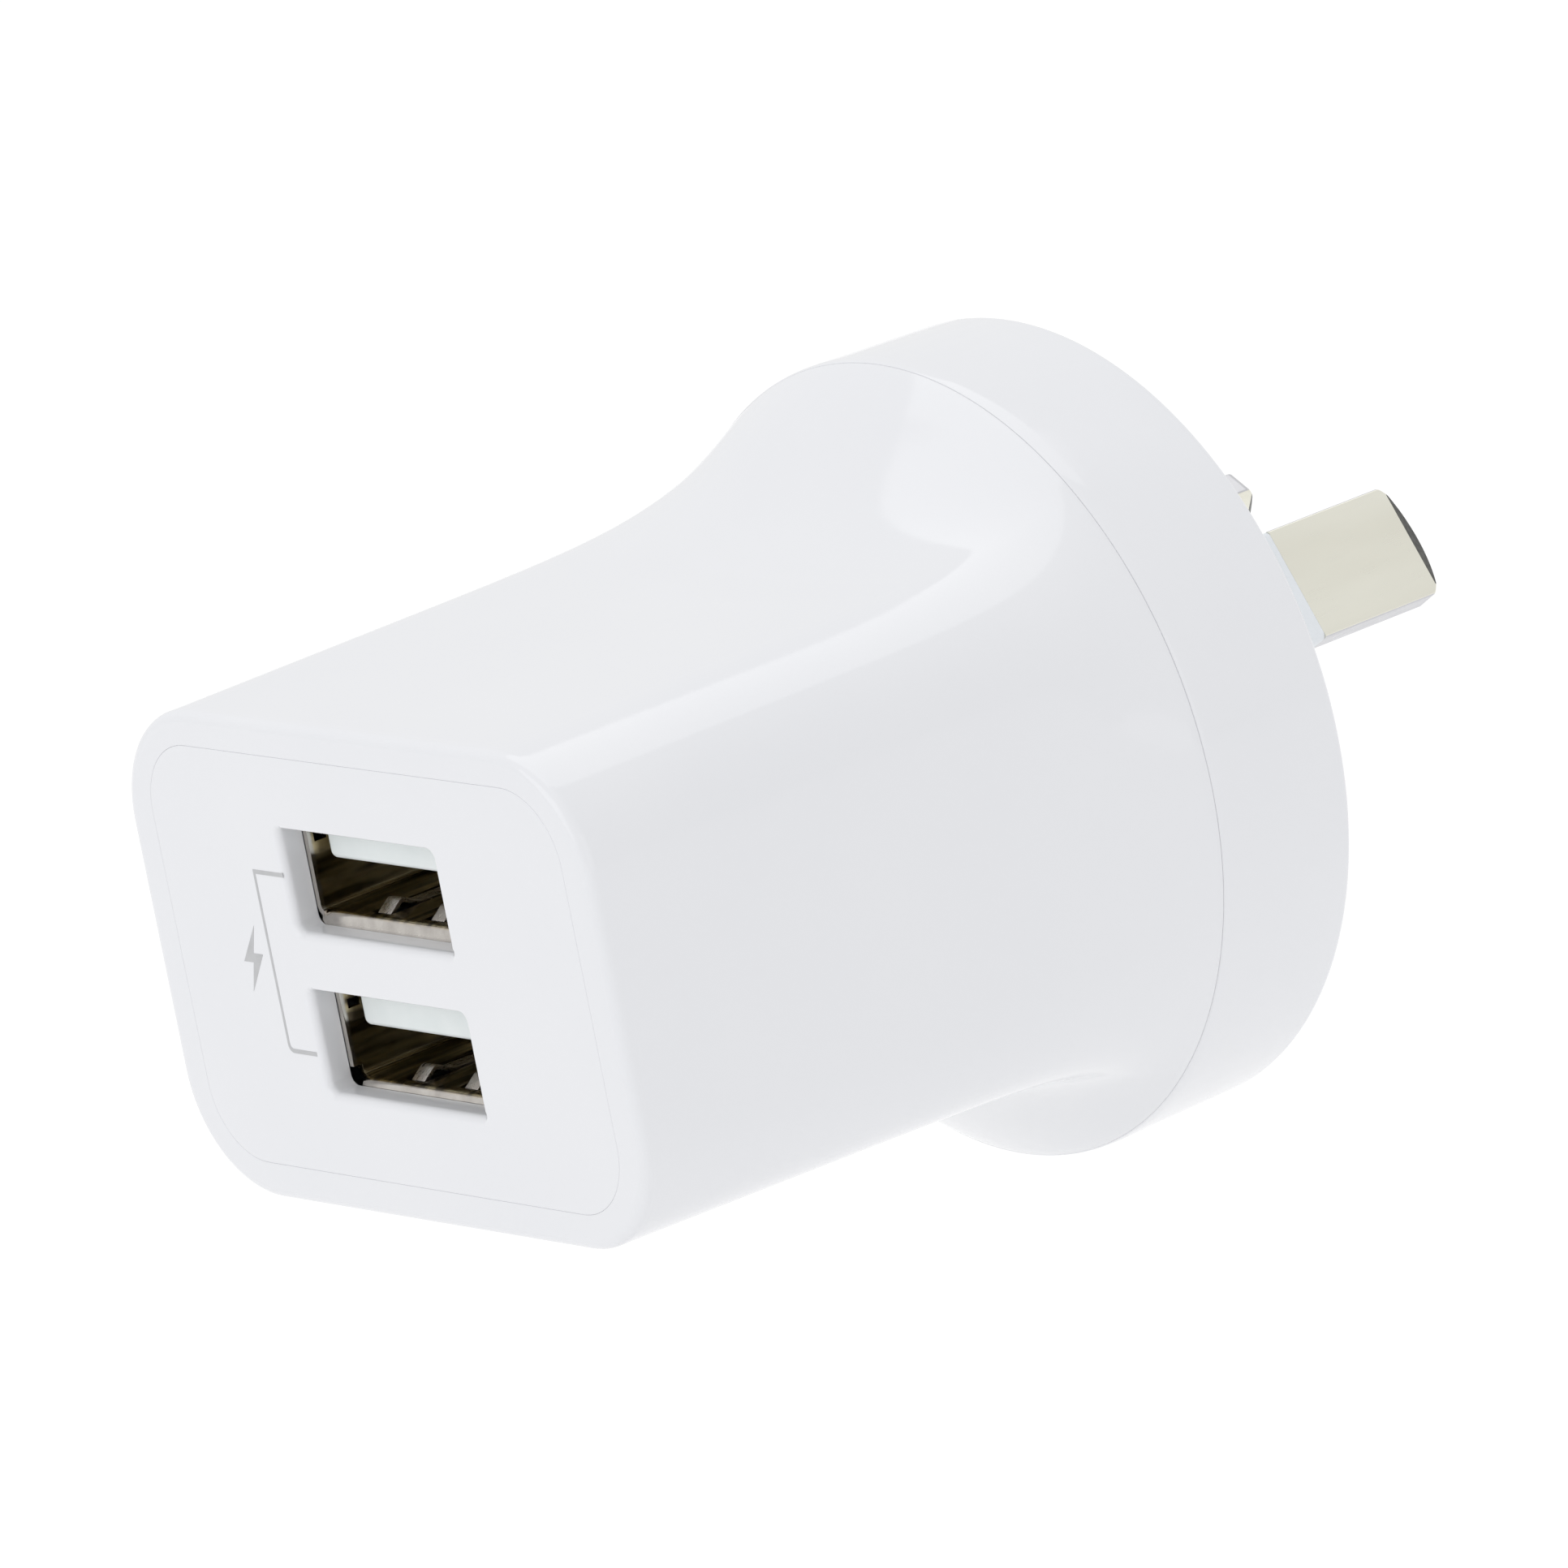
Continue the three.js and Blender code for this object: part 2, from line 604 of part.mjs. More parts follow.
// One E-shaped half of the core, its back plate outwards and its legs towards x = 0.
function coreHalf(side) {
  const legEnd = BOBBIN.gap / 2;
  const legRoot = CORE.halfLength - CORE.back;
  const window = (CORE.halfDepth - CORE.outerLeg - CORE.halfCentreLeg) / 2;
  const plate = block(
    [legEnd, -CORE.halfDepth, -CORE.height / 2],
    [CORE.halfLength, CORE.halfDepth, CORE.height / 2],
  );
  const windows = [-1, 1].map((end) =>
    block(
      [-OVERSHOOT, end * (CORE.halfCentreLeg + window) - window, -CORE.height],
      [legRoot, end * (CORE.halfCentreLeg + window) + window, CORE.height],
    ),
  );
  const half = cut(plate, ...windows);
  return side > 0 ? half : half.rotateZ(Math.PI);
}

// The bobbin: a square tube over the centre leg, a flange at each end and a foot under each flange.
function bobbin() {
  const bore = [CORE.halfCentreLeg + BOBBIN.gap, CORE.height / 2 + BOBBIN.gap];
  const tubeHalf = bore.map((size) => size + BOBBIN.tubeWall);
  const endX = BOBBIN.flangeX + BOBBIN.flange;
  const half = BOBBIN.halfFlange;
  const floorZ = POWER_BOARD.topZ + FIT - TRANSFORMER.z;
  const tube = block([-endX, -tubeHalf[0], -tubeHalf[1]], [endX, tubeHalf[0], tubeHalf[1]]);
  const flanges = [-1, 1].flatMap((side) => {
    const xs = span(side, BOBBIN.flangeX, endX);
    const footXs = span(side, BOBBIN.flangeX - SINK, CORE.halfLength - SINK);
    return [
      block([xs[0], -half, floorZ], [xs[1], half, half]),
      block([footXs[0], -CORE.halfDepth, floorZ], [footXs[1], CORE.halfDepth, floorZ + BOBBIN.footHeight]),
    ];
  });
  const opening = block([-endX - OVERSHOOT, -bore[0], -bore[1]], [endX + OVERSHOOT, bore[0], bore[1]]);
  const legRoom = [-1, 1].map((side) => {
    const inner = CORE.halfDepth - CORE.outerLeg - BOBBIN.gap;
    const ys = span(side, inner, CORE.halfDepth + OVERSHOOT);
    const halfHeight = CORE.height / 2 + BOBBIN.gap;
    return block([-endX - OVERSHOOT, ys[0], -halfHeight], [endX + OVERSHOOT, ys[1], halfHeight]);
  });
  return cut(join(tube, ...flanges), opening, ...legRoom);
}

// The taped winding over the bobbin's tube.
function winding() {
  const boreY = CORE.halfCentreLeg + BOBBIN.gap + BOBBIN.tubeWall + WINDING.gap;
  const boreZ = CORE.height / 2 + BOBBIN.gap + BOBBIN.tubeWall + WINDING.gap;
  const endX = BOBBIN.flangeX - WINDING.gap;
  const outer = alongX(roundedRect(WINDING.halfSide, WINDING.halfSide, WINDING.corner), -endX, endX);
  return cut(outer, block([-endX - OVERSHOOT, -boreY, -boreZ], [endX + OVERSHOOT, boreY, boreZ]));
}

// An electrolytic capacitor standing on z = 0: rounded ends and a crimp near its base.
function electrolytic(radius, height) {
  const { crimpDepth, crimpZ, crimpHalf, edge, segments } = ELECTROLYTIC;
  return turned(
    [
      [0, 0],
      [radius - edge, 0],
      [radius, edge],
      [radius, crimpZ - crimpHalf],
      [radius - crimpDepth, crimpZ],
      [radius, crimpZ + crimpHalf],
      [radius, height - edge],
      [radius - edge, height],
      [0, height],
    ],
    segments,
  ).rotateX(Math.PI / 2);
}

// A body with a cap at each end and a waist between them, standing on z = 0.
function capped({ radius, waist, cap, height }) {
  const profile = [
    [0, 0],
    [radius, 0],
    [radius, cap],
    [waist, cap],
    [waist, height - cap],
    [radius, height - cap],
    [radius, height],
    [0, height],
  ];
  return turned(profile, ELECTROLYTIC.segments).rotateX(Math.PI / 2);
}

// A round disc capacitor with softened edges, its axis along Y.
function discCapacitor({ radius, thickness, edge, segments }) {
  const half = thickness / 2;
  return turned(
    [
      [0, -half],
      [radius - edge, -half],
      [radius, -half + edge],
      [radius, half - edge],
      [radius - edge, half],
      [0, half],
    ],
    segments,
  );
}

function insulationBarrier() {
  const { halfWidth, frontY, lowZ, topZ, toY, thickness } = BARRIER;
  const profile = outline([
    [frontY, lowZ],
    [frontY + thickness, lowZ],
    [frontY + thickness, topZ - thickness],
    [toY, topZ - thickness],
    [toY, topZ],
    [frontY, topZ],
  ]);
  return alongX(profile, -halfWidth, halfWidth);
}

// A moulded package resting on z = 0, its top edges drawn in a little.
function moulded({ sizeX, sizeY, height }) {
  const side = outline([
    [-sizeX / 2, 0],
    [sizeX / 2, 0],
    [sizeX / 2 - PACKAGE_DRAFT, height],
    [-sizeX / 2 + PACKAGE_DRAFT, height],
  ]);
  return alongY(side, -sizeY / 2, sizeY / 2);
}

// ---------------------------------------------------------------- assembly

const FINISHES = {
  gloss_white: { color: 0xececef, roughness: 0.16, metalness: 0 },
  tongue_white: { color: 0xdfe6e8, roughness: 0.35, metalness: 0 },
  sleeve_grey: { color: 0xd9e0e6, roughness: 0.4, metalness: 0 },
  nickel: { color: 0xd6d7ca, roughness: 0.22, metalness: 1 },
  spring_steel: { color: 0xb9b2a2, roughness: 0.25, metalness: 1 },
  gold: { color: 0xd8b45a, roughness: 0.25, metalness: 1 },
  board_green: { color: 0x1f5a35, roughness: 0.5, metalness: 0 },
  ferrite: { color: 0x2b2b2d, roughness: 0.7, metalness: 0.1 },
  bobbin_black: { color: 0x1c1c1c, roughness: 0.6, metalness: 0 },
  tape_yellow: { color: 0xd9b036, roughness: 0.4, metalness: 0 },
  can_sleeve: { color: 0x20283c, roughness: 0.35, metalness: 0 },
  epoxy_black: { color: 0x161616, roughness: 0.55, metalness: 0 },
  ceramic_blue: { color: 0x2f63a8, roughness: 0.45, metalness: 0 },
  resistor_body: { color: 0x6e8f86, roughness: 0.5, metalness: 0 },
  barrier_film: { color: 0xe9e2c4, roughness: 0.5, metalness: 0 },
};

function piece(group, name, geometry, finish) {
  const mesh = new THREE.Mesh(geometry, new THREE.MeshStandardMaterial(FINISHES[finish]));
  mesh.name = name;
  group.add(mesh);
  return mesh;
}

const charger = new THREE.Group();
piece(charger, "main_housing", mainHousing(), "gloss_white");
piece(charger, "front_panel", frontPanel(), "gloss_white");
piece(charger, "rear_cover", rearCover(), "gloss_white");

for (const { name, side, angle, x, z } of BLADES) {
  const pin = new THREE.Group();
  pin.position.set(x, 0, z);
  pin.rotation.y = angle;
  charger.add(pin);
  piece(pin, `${name}_blade`, blade(), "nickel");
  piece(pin, `${name}_sleeve`, sleeve(), "sleeve_grey");
  piece(charger, `${name}_clip`, bladeClip(side), "spring_steel");
}

for (const { name, z, rise } of PORTS) {
  const port = new THREE.Group();
  port.position.set(0, SHELL_FRONT_Y, z + rise);
  charger.add(port);
  piece(port, `${name}_port_shell`, portShell(), "nickel");
  piece(port, `${name}_port_tongue`, portTongue(), "tongue_white");
  for (const [signal, contactX] of Object.entries(SIGNALS)) {
    piece(port, `${name}_contact_${signal}`, portContact(contactX), "gold");
  }
  piece(port, `${name}_spring_left`, portSpring(-SPRING.x), "spring_steel");
  piece(port, `${name}_spring_right`, portSpring(SPRING.x), "spring_steel");
}

piece(charger, "usb_board", usbBoard(), "board_green");
piece(charger, "power_board", powerBoard(), "board_green");

const transformer = new THREE.Group();
transformer.position.set(0, TRANSFORMER.y, TRANSFORMER.z);
charger.add(transformer);
piece(transformer, "transformer_core_left", coreHalf(-1), "ferrite");
piece(transformer, "transformer_core_right", coreHalf(1), "ferrite");
piece(transformer, "transformer_bobbin", bobbin(), "bobbin_black");
piece(transformer, "transformer_winding", winding(), "tape_yellow");

const boardTop = POWER_BOARD.topZ + FIT;
const boardBottom = POWER_BOARD.topZ - BOARD_THICKNESS - FIT;
for (const { name, x, y, radius, height } of CAPACITORS) {
  const can = piece(charger, name, electrolytic(radius, height), "can_sleeve");
  can.position.set(x, y, boardTop);
}
for (const item of PACKAGES) {
  const chip = piece(charger, item.name, moulded(item), "epoxy_black");
  chip.position.set(item.x, item.y, item.side > 0 ? boardTop : boardBottom);
  chip.rotation.y = item.side > 0 ? 0 : Math.PI;
}
const resistor = piece(charger, "fusible_resistor", capped(RESISTOR), "resistor_body");
resistor.position.set(RESISTOR.x, RESISTOR.y, boardTop);
const inductor = piece(charger, "line_inductor", capped(INDUCTOR), "ferrite");
inductor.position.set(INDUCTOR.x, INDUCTOR.y, boardTop);
const disc = piece(charger, "safety_capacitor", discCapacitor(SAFETY_CAPACITOR), "ceramic_blue");
disc.position.set(0, SAFETY_CAPACITOR.y, SAFETY_CAPACITOR.z);
piece(charger, "insulation_barrier", insulationBarrier(), "barrier_film");

export default charger;
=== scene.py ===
import json
import math

import bmesh
import bpy
from mathutils import Matrix, Vector


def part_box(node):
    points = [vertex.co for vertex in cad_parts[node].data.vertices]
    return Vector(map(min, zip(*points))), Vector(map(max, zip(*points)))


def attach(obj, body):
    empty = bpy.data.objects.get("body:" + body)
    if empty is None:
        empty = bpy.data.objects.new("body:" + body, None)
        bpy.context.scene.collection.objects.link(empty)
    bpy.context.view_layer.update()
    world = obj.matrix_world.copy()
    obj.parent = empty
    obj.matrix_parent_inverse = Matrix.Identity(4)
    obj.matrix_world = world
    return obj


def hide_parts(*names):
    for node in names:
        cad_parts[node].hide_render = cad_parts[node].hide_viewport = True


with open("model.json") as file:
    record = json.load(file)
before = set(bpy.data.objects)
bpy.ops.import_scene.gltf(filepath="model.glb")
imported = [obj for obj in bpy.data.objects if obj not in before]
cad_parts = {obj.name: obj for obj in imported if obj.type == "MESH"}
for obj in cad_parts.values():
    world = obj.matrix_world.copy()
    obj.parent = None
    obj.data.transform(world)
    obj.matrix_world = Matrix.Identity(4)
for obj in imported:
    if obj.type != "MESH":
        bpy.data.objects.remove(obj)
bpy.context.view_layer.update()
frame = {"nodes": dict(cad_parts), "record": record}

# A wall charger with two USB-A ports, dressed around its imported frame. Shapes are worked out in
# millimetres and scaled to metres when a mesh is made. The frame's origin is the centre of the
# plug face: +Y runs out along the pins, the USB face looks along -Y, and +Z is up.

MM = 0.001
ROOT = "case"


def box_mm(node):
    low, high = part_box(node)
    return low / MM, high / MM


# ---------------------------------------------------------------- sizes, in millimetres

GAP = 0.1  # between pieces that fit into each other
PARTING = 0.008  # the part of that gap that shows at the seam between housing and cover
WALL = 2.0
RIM = 0.12  # a narrow flat ring beside a rounded edge, so that the flat face shades flat

HOUSING_LOW, HOUSING_HIGH = box_mm("main_housing")
PANEL_LOW, PANEL_HIGH = box_mm("front_panel")
COVER_LOW, COVER_HIGH = box_mm("rear_cover")
FRONT_Y = HOUSING_LOW.y
SEAM_Y = HOUSING_HIGH.y + GAP / 2

# The straight front of the housing is a rounded rectangle that widens slightly towards the wall.
BODY = {
    "half_width": 19.05,
    "half_height": 13.0,
    "corner": 6.3,
    "mid_z": 0.19,
    "edge": 0.6,
    "grow_x": 0.3,
    "grow_z": 0.55,
}
# The flare turns it into a circle between two stations. Rise and settle shape its two ends.
FLARE = {"start": -32.63, "rise": 4.0, "settle": 1.0, "weight": 2.48}
FLANGE = {
    "seam_radius": 21.44,
    "face_radius": 21.22,
    "edge": 0.6,
    "lip": 0.12,
    "lip_length": 0.9,
    "seam_edge": 0.03,
}
# The cover's spigot plugs into a round register in the housing's end.
COVER = {
    "face_thickness": 2.5,
    "spigot_radius": 18.8,
    "spigot_wall": 1.2,
    "spigot_length": 1.2,
    "register_depth": 1.35,
    "register_step": 0.25,
    "hub": 2.0,
    "rim": 0.2,
    "slot_y": (-4.0, 1.0),
}

PANEL = {
    "half_width": PANEL_HIGH.x + GAP,
    "half_height": (PANEL_HIGH.z - PANEL_LOW.z) / 2 + GAP,
    "mid_z": (PANEL_HIGH.z + PANEL_LOW.z) / 2,
    "corner": 3.9,
    "thickness": 1.5,
    "edge": 0.03,
    "seam": 0.004,
    "seam_depth": 0.7,
    "step_depth": 0.9,
    "rim": 0.15,
}
LEDGE = {"inset": 1.2, "thickness": 1.3}
MOUTH = {"half_width": 6.47, "half_height": 2.78, "lower": 0.06, "edge": 0.45, "crisp_edge": 0.1}
MOUTH_CORNERS = (0.6, 0.35, 0.55, 0.35)  # upper right, upper left, lower left, lower right
SHELL = {
    "wall": 0.3,
    "corner": 0.6,
    "narrower": 0.14,
    "forward": 0.09,
    "lip_turn": 76.0,
    "notch_depth": 0.55,
    "edge": 0.03,
    "cell": 0.4,
}
# In a port whose lips are torn from its sides, the lips spread sideways as they bend outwards.
TORN_LIP = {"reach": 0.36, "from": 0.1, "over": 0.2}
WINDOW = {"y": (0.4, 1.15), "z": (1.0, 1.5)}  # a hole in each of the shell's side walls
PANEL_BACK_Y = FRONT_Y + PANEL["thickness"]
LEDGE_BACK_Y = PANEL_BACK_Y + GAP + LEDGE["thickness"]

BLADE = {
    "radius": 7.92,
    "spread": 60.0,
    "width": 6.35,
    "thickness": 1.63,
    "shoulder": 17.45,
    "taper_from": 17.7,
    "tip_thickness": 0.4,
    "plan_corner": 0.45,
    "edge": 0.13,
    "joint": 0.002,
}
BLADE_TIP = box_mm("active_blade")[1].y
NECK = {"width": 5.5, "thickness": 0.9, "corner": 0.12, "into_blade": 0.5}
SLEEVE = {"corner": 0.3, "bore": 0.05, "edge": 0.008}
SLEEVE_LOW, SLEEVE_HIGH = box_mm("active_sleeve")
# Inside a port: y runs inwards from the shell's front, z up from the shell's centre.
TONGUE = {
    "half_width": 5.55,
    "low": 0.06,
    "high": 1.9,
    "corner": 0.42,
    "edge": 0.3,
    "soft_edge": 0.05,
    "block": 10.7,
    "block_corner": 0.3,
    "block_gap": 0.08,
    "groove": 1.3,
    "groove_from": 1.4,
    "roof": 1.15,
}
CONTACT = {
    "width": 1.0,
    "thickness": 0.2,
    "corner": 0.05,
    "bend": 0.7,
    "tip_length": 0.25,
    "tip_width": 0.75,
}
CONTACTS = {"vbus": 3.5, "data_minus": 1.0, "data_plus": -1.0, "ground": -3.5}
CONTACT_PATH = [(10.5, 0.42), (6.5, 0.42), (4.1, -0.32), (2.7, 0.25), (1.8, 0.5)]
SPRING = {
    "x": 2.2,
    "width": 1.05,
    "thickness": 0.25,
    "corner": 0.04,
    "bend": 0.16,
    "slot": 1.7,
    "slot_from": 0.75,
    "slot_to": 8.8,
}
SPRING_PATH = [(8.5, -2.71), (7.7, -2.71), (2.9, -2.64), (1.75, -2.12), (0.95, -2.72)]


def port_sizes(name, mouth_z, bend, lip_end, notch_x, notch_z):
    """A port's places, its lips' bend radius and straight end, and how far its corner notches reach."""
    shell = box_mm(name + "_port_shell")
    return {
        "name": name,
        "z": mouth_z,
        "shell": shell,
        "shell_z": (shell[0].z + shell[1].z) / 2,
        "tongue": box_mm(name + "_port_tongue"),
        "bend": bend,
        "lip_end": lip_end,
        "notch_x": notch_x,
        "notch_z": notch_z,
    }


PORTS = [
    port_sizes("upper", mouth_z=4.905, bend=0.33, lip_end=0.5, notch_x=0.0, notch_z=0.0),
    port_sizes("lower", mouth_z=-3.645, bend=0.42, lip_end=0.3, notch_x=0.08, notch_z=0.28),
]

INK = {
    "height": 0.012,
    "sunk": 0.01,
    "stroke": 0.17,
    "arm": 0.23,
    "spine_x": -9.15,
    "arm_x": -6.7,
    "low_arm_x": -6.9,
    "top": 5.19,
    "bottom": -4.56,
    "bend": 0.45,
    "symbol_x": -10.7,
    "symbol_z": 0.3,
    "symbol_height": 3.6,
}

AROUND = 320  # points round the housing and the cover
CORNER_STEPS = 10
EDGE_STEPS = 6


# ---------------------------------------------------------------- mesh building

def add_skin(bm, rings, closed=False, caps=False):
    """Quads between rings with the same number of points. Closed joins the last ring to the first."""
    made = [[bm.verts.new(p) for p in ring] for ring in rings]
    pairs = list(zip(made, made[1:]))
    if closed:
        pairs.append((made[-1], made[0]))
    for here, there in pairs:
        count = len(here)
        for i in range(count):
            j = (i + 1) % count
            bm.faces.new((here[i], here[j], there[j], there[i]))
    if caps:
        bm.faces.new(made[0])
        bm.faces.new(made[-1])
    return made


def solid(*parts, closed=False):
    """A bmesh of closed skins, one for each list of rings, capped at its ends unless it closes up."""
    bm = bmesh.new()
    for rings in parts:
        add_skin(bm, rings, closed=closed, caps=not closed)
    bmesh.ops.recalc_face_normals(bm, faces=bm.faces)
    return bm


def fill_flat(bm, loops):
    """Fills the flat region between an outer loop of vertices and the loops inside it."""
    edges = []
    for loop in loops:
        for i, vert in enumerate(loop):
            edges.append(bm.edges.get((vert, loop[(i + 1) % len(loop)])))
    bmesh.ops.triangle_fill(bm, use_beauty=True, edges=edges)


def work_object(bm):
    """A millimetre-scale object from a bmesh."""
    mesh = bpy.data.meshes.new("work")
    bm.to_mesh(mesh)
    bm.free()
    obj = bpy.data.objects.new("work", mesh)
    bpy.context.scene.collection.objects.link(obj)
    return obj


def apply_modifiers(obj):
    bpy.context.view_layer.update()
    graph = bpy.context.evaluated_depsgraph_get()
    mesh = bpy.data.meshes.new_from_object(obj.evaluated_get(graph))
    old = obj.data
    obj.modifiers.clear()
    obj.data = mesh
    bpy.data.meshes.remove(old)


def combine(operation, base, tools):
    """Joins, cuts or intersects a millimetre-scale object with bmeshes."""
    made = [work_object(bm) for bm in tools]
    for tool in made:
        modifier = base.modifiers.new("combine", "BOOLEAN")
        modifier.operation = operation
        modifier.solver = "EXACT"
        modifier.object = tool
    apply_modifiers(base)
    for tool in made:
        mesh = tool.data
        bpy.data.objects.remove(tool)
        bpy.data.meshes.remove(mesh)
    return base


def soften(obj, width, segments=3, angle=30):
    """Rounds the edges of a millimetre-scale object that turn by more than an angle."""
    modifier = obj.modifiers.new("soften", "BEVEL")
    modifier.width = width
    modifier.segments = segments
    modifier.limit_method = "ANGLE"
    modifier.angle_limit = math.radians(angle)
    apply_modifiers(obj)
    return obj


def finish_piece(work, name, body, nodes, material, sharp=35, cut_metal_and_painted_reflection=()):
    """Turns a bmesh or a millimetre-scale object into a smooth-shaded piece of the model.

    The further materials, such as the cut metal on the pins' sides and the painted dark reflection on
    their tips, come each with a test of a face's normal that says where it goes.
    """
    obj = work if isinstance(work, bpy.types.Object) else work_object(work)
    obj.name = name
    obj.data.name = name
    obj.data.transform(Matrix.Scale(MM, 4))
    obj.data.materials.clear()
    obj.data.materials.append(material)
    for other, _ in cut_metal_and_painted_reflection:
        obj.data.materials.append(other)
    for polygon in obj.data.polygons:
        polygon.use_smooth = True
        hits = [index for index, (_, test) in enumerate(cut_metal_and_painted_reflection, 1) if test(polygon.normal)]
        polygon.material_index = hits[0] if hits else 0
    obj.data.set_sharp_from_angle(angle=math.radians(sharp))
    weighted = obj.modifiers.new("even_normals", "WEIGHTED_NORMAL")
    weighted.keep_sharp = True
    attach(obj, body)
    if nodes:
        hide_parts(*nodes)
    return obj


def quarter(steps=EDGE_STEPS):
    """A quarter round as (along, inwards) shares of its radius, from (0, 1) to (1, 0)."""
    angles = [math.pi / 2 * i / steps for i in range(steps + 1)]
    return [(1 - math.cos(a), 1 - math.sin(a)) for a in angles]


def rounded_outline(half_width, half_height, corner, steps=CORNER_STEPS):
    """A rounded rectangle as (a, b) points, anticlockwise from the right-hand side's top."""
    points = []
    for turn in range(4):
        side_a = 1 if turn in (0, 3) else -1
        side_b = 1 if turn in (0, 1) else -1
        for i in range(steps + 1):
            angle = math.pi / 2 * (turn + i / steps)
            a = side_a * (half_width - corner) + corner * math.cos(angle)
            b = side_b * (half_height - corner) + corner * math.sin(angle)
            points.append((a, b))
    return points


def rect_ring(y, half_width, half_height, corner, x=0, z=0, steps=CORNER_STEPS):
    outline = rounded_outline(half_width, half_height, corner, steps)
    return [Vector((x + a, y, z + b)) for a, b in outline]


def block(low, high):
    corners = ((low[0], low[2]), (high[0], low[2]), (high[0], high[2]), (low[0], high[2]))
    return solid([[Vector((x, y, z)) for x, z in corners] for y in (low[1], high[1])])


def steps_between(start, end, count):
    return [start + (end - start) * i / count for i in range(count + 1)]


def rounded_path(points, cut, steps=6):
    """A path through points, with each bend between its ends turned into a smooth curve."""
    points = [Vector(p) for p in points]
    made = [points[0]]
    for before, corner, after in zip(points, points[1:], points[2:]):
        enter = corner + (before - corner).normalized() * min(cut, (before - corner).length / 2)
        leave = corner + (after - corner).normalized() * min(cut, (after - corner).length / 2)
        for i in range(steps + 1):
            t = i / steps
            made.append((1 - t) ** 2 * enter + 2 * t * (1 - t) * corner + t**2 * leave)
    made.append(points[-1])
    return made


def ribbon(path, x, width, thickness, corner, tip_length=0.0, tip_width=1.0):
    """Rings of a strip along a path of (y, z) points, narrowing to tip_width of its width at the end."""
    lengths = [0.0]
    for p, q in zip(path, path[1:]):
        lengths.append(lengths[-1] + (q - p).length)
    rings = []
    for i, point in enumerate(path):
        before, after = path[max(i - 1, 0)], path[min(i + 1, len(path) - 1)]
        along = (after - before).normalized()
        across = Vector((-along.y, along.x))
        left = lengths[-1] - lengths[i]
        share = 1.0
        if left < tip_length:
            u = 1 - left / tip_length
            share = tip_width + (1 - tip_width) * math.sqrt(max(1 - u * u, 0))
        outline = rounded_outline(width / 2 * share, thickness / 2, corner, 3)
        rings.append(
            [Vector((x + a, point.x + across.x * b, point.y + across.y * b)) for a, b in outline]
        )
    return rings


# ---------------------------------------------------------------- the case's shape

def rounded_rect_radius(angle, half_width, half_height, corner):
    """Distance from the centre of a rounded rectangle to its edge at an angle."""
    c, s = abs(math.cos(angle)), abs(math.sin(angle))
    flat = min(half_width / max(c, 1e-12), half_height / max(s, 1e-12))
    corner_x, corner_z = half_width - corner, half_height - corner
    if flat * c <= corner_x or flat * s <= corner_z:
        return flat
    along = c * corner_x + s * corner_z
    return along + math.sqrt(along**2 - corner_x**2 - corner_z**2 + corner**2)


def flare_amount(y):
    """0 where the section is the rounded rectangle, 1 where it is the flange's circle."""
    u = min(max((y - FLARE["start"]) / (SEAM_Y - FLARE["start"]), 0), 1)
    risen = u ** FLARE["rise"]
    return risen / (risen + FLARE["weight"] * (1 - u) ** FLARE["settle"])


def flange_radius(y):
    return FLANGE["seam_radius"] + (FLANGE["face_radius"] - FLANGE["seam_radius"]) * (1 - y / SEAM_Y)


def even_angles(count):
    """Angles that space points evenly along the housing's front outline."""
    fine = [2 * math.pi * i / (count * 8) for i in range(count * 8 + 1)]
    sizes = (BODY["half_width"], BODY["half_height"], BODY["corner"])
    points = [Vector((math.cos(a), math.sin(a))) * rounded_rect_radius(a, *sizes) for a in fine]
    lengths = [0.0]
    for p, q in zip(points, points[1:]):
        lengths.append(lengths[-1] + (q - p).length)
    angles, place = [], 0
    for i in range(count):
        wanted = lengths[-1] * i / count
        while lengths[place + 1] < wanted:
            place += 1
        share = (wanted - lengths[place]) / (lengths[place + 1] - lengths[place])
        angles.append(fine[place] + share * (fine[place + 1] - fine[place]))
    return angles


ANGLES = even_angles(AROUND)


def polar_ring(y, radius_at, mid_z):
    ring = []
    for angle in ANGLES:
        radius = radius_at(angle)
        ring.append(Vector((radius * math.cos(angle), y, mid_z + radius * math.sin(angle))))
    return ring


def housing_ring(y, inset):
    """The housing's outer section at a station, moved inwards by inset."""
    grown = (y - FRONT_Y) / -FRONT_Y
    half_width = BODY["half_width"] + BODY["grow_x"] * grown - inset
    half_height = BODY["half_height"] + BODY["grow_z"] * grown - inset
    flare = flare_amount(y)
    circle = flange_radius(y) - FLANGE["lip"] - inset

    def radius_at(angle):
        straight = rounded_rect_radius(angle, half_width, half_height, BODY["corner"] - inset)
        return straight + (circle - straight) * flare

    return polar_ring(y, radius_at, BODY["mid_z"] * (1 - flare))


def panel_ring(y, outset):
    """The outline of the panel's pocket, moved outwards."""
    sizes = [PANEL[key] + outset for key in ("half_width", "half_height", "corner")]
    return polar_ring(y, lambda angle: rounded_rect_radius(angle, *sizes), PANEL["mid_z"])


def circle_ring(y, radius):
    return polar_ring(y, lambda angle: radius, 0)


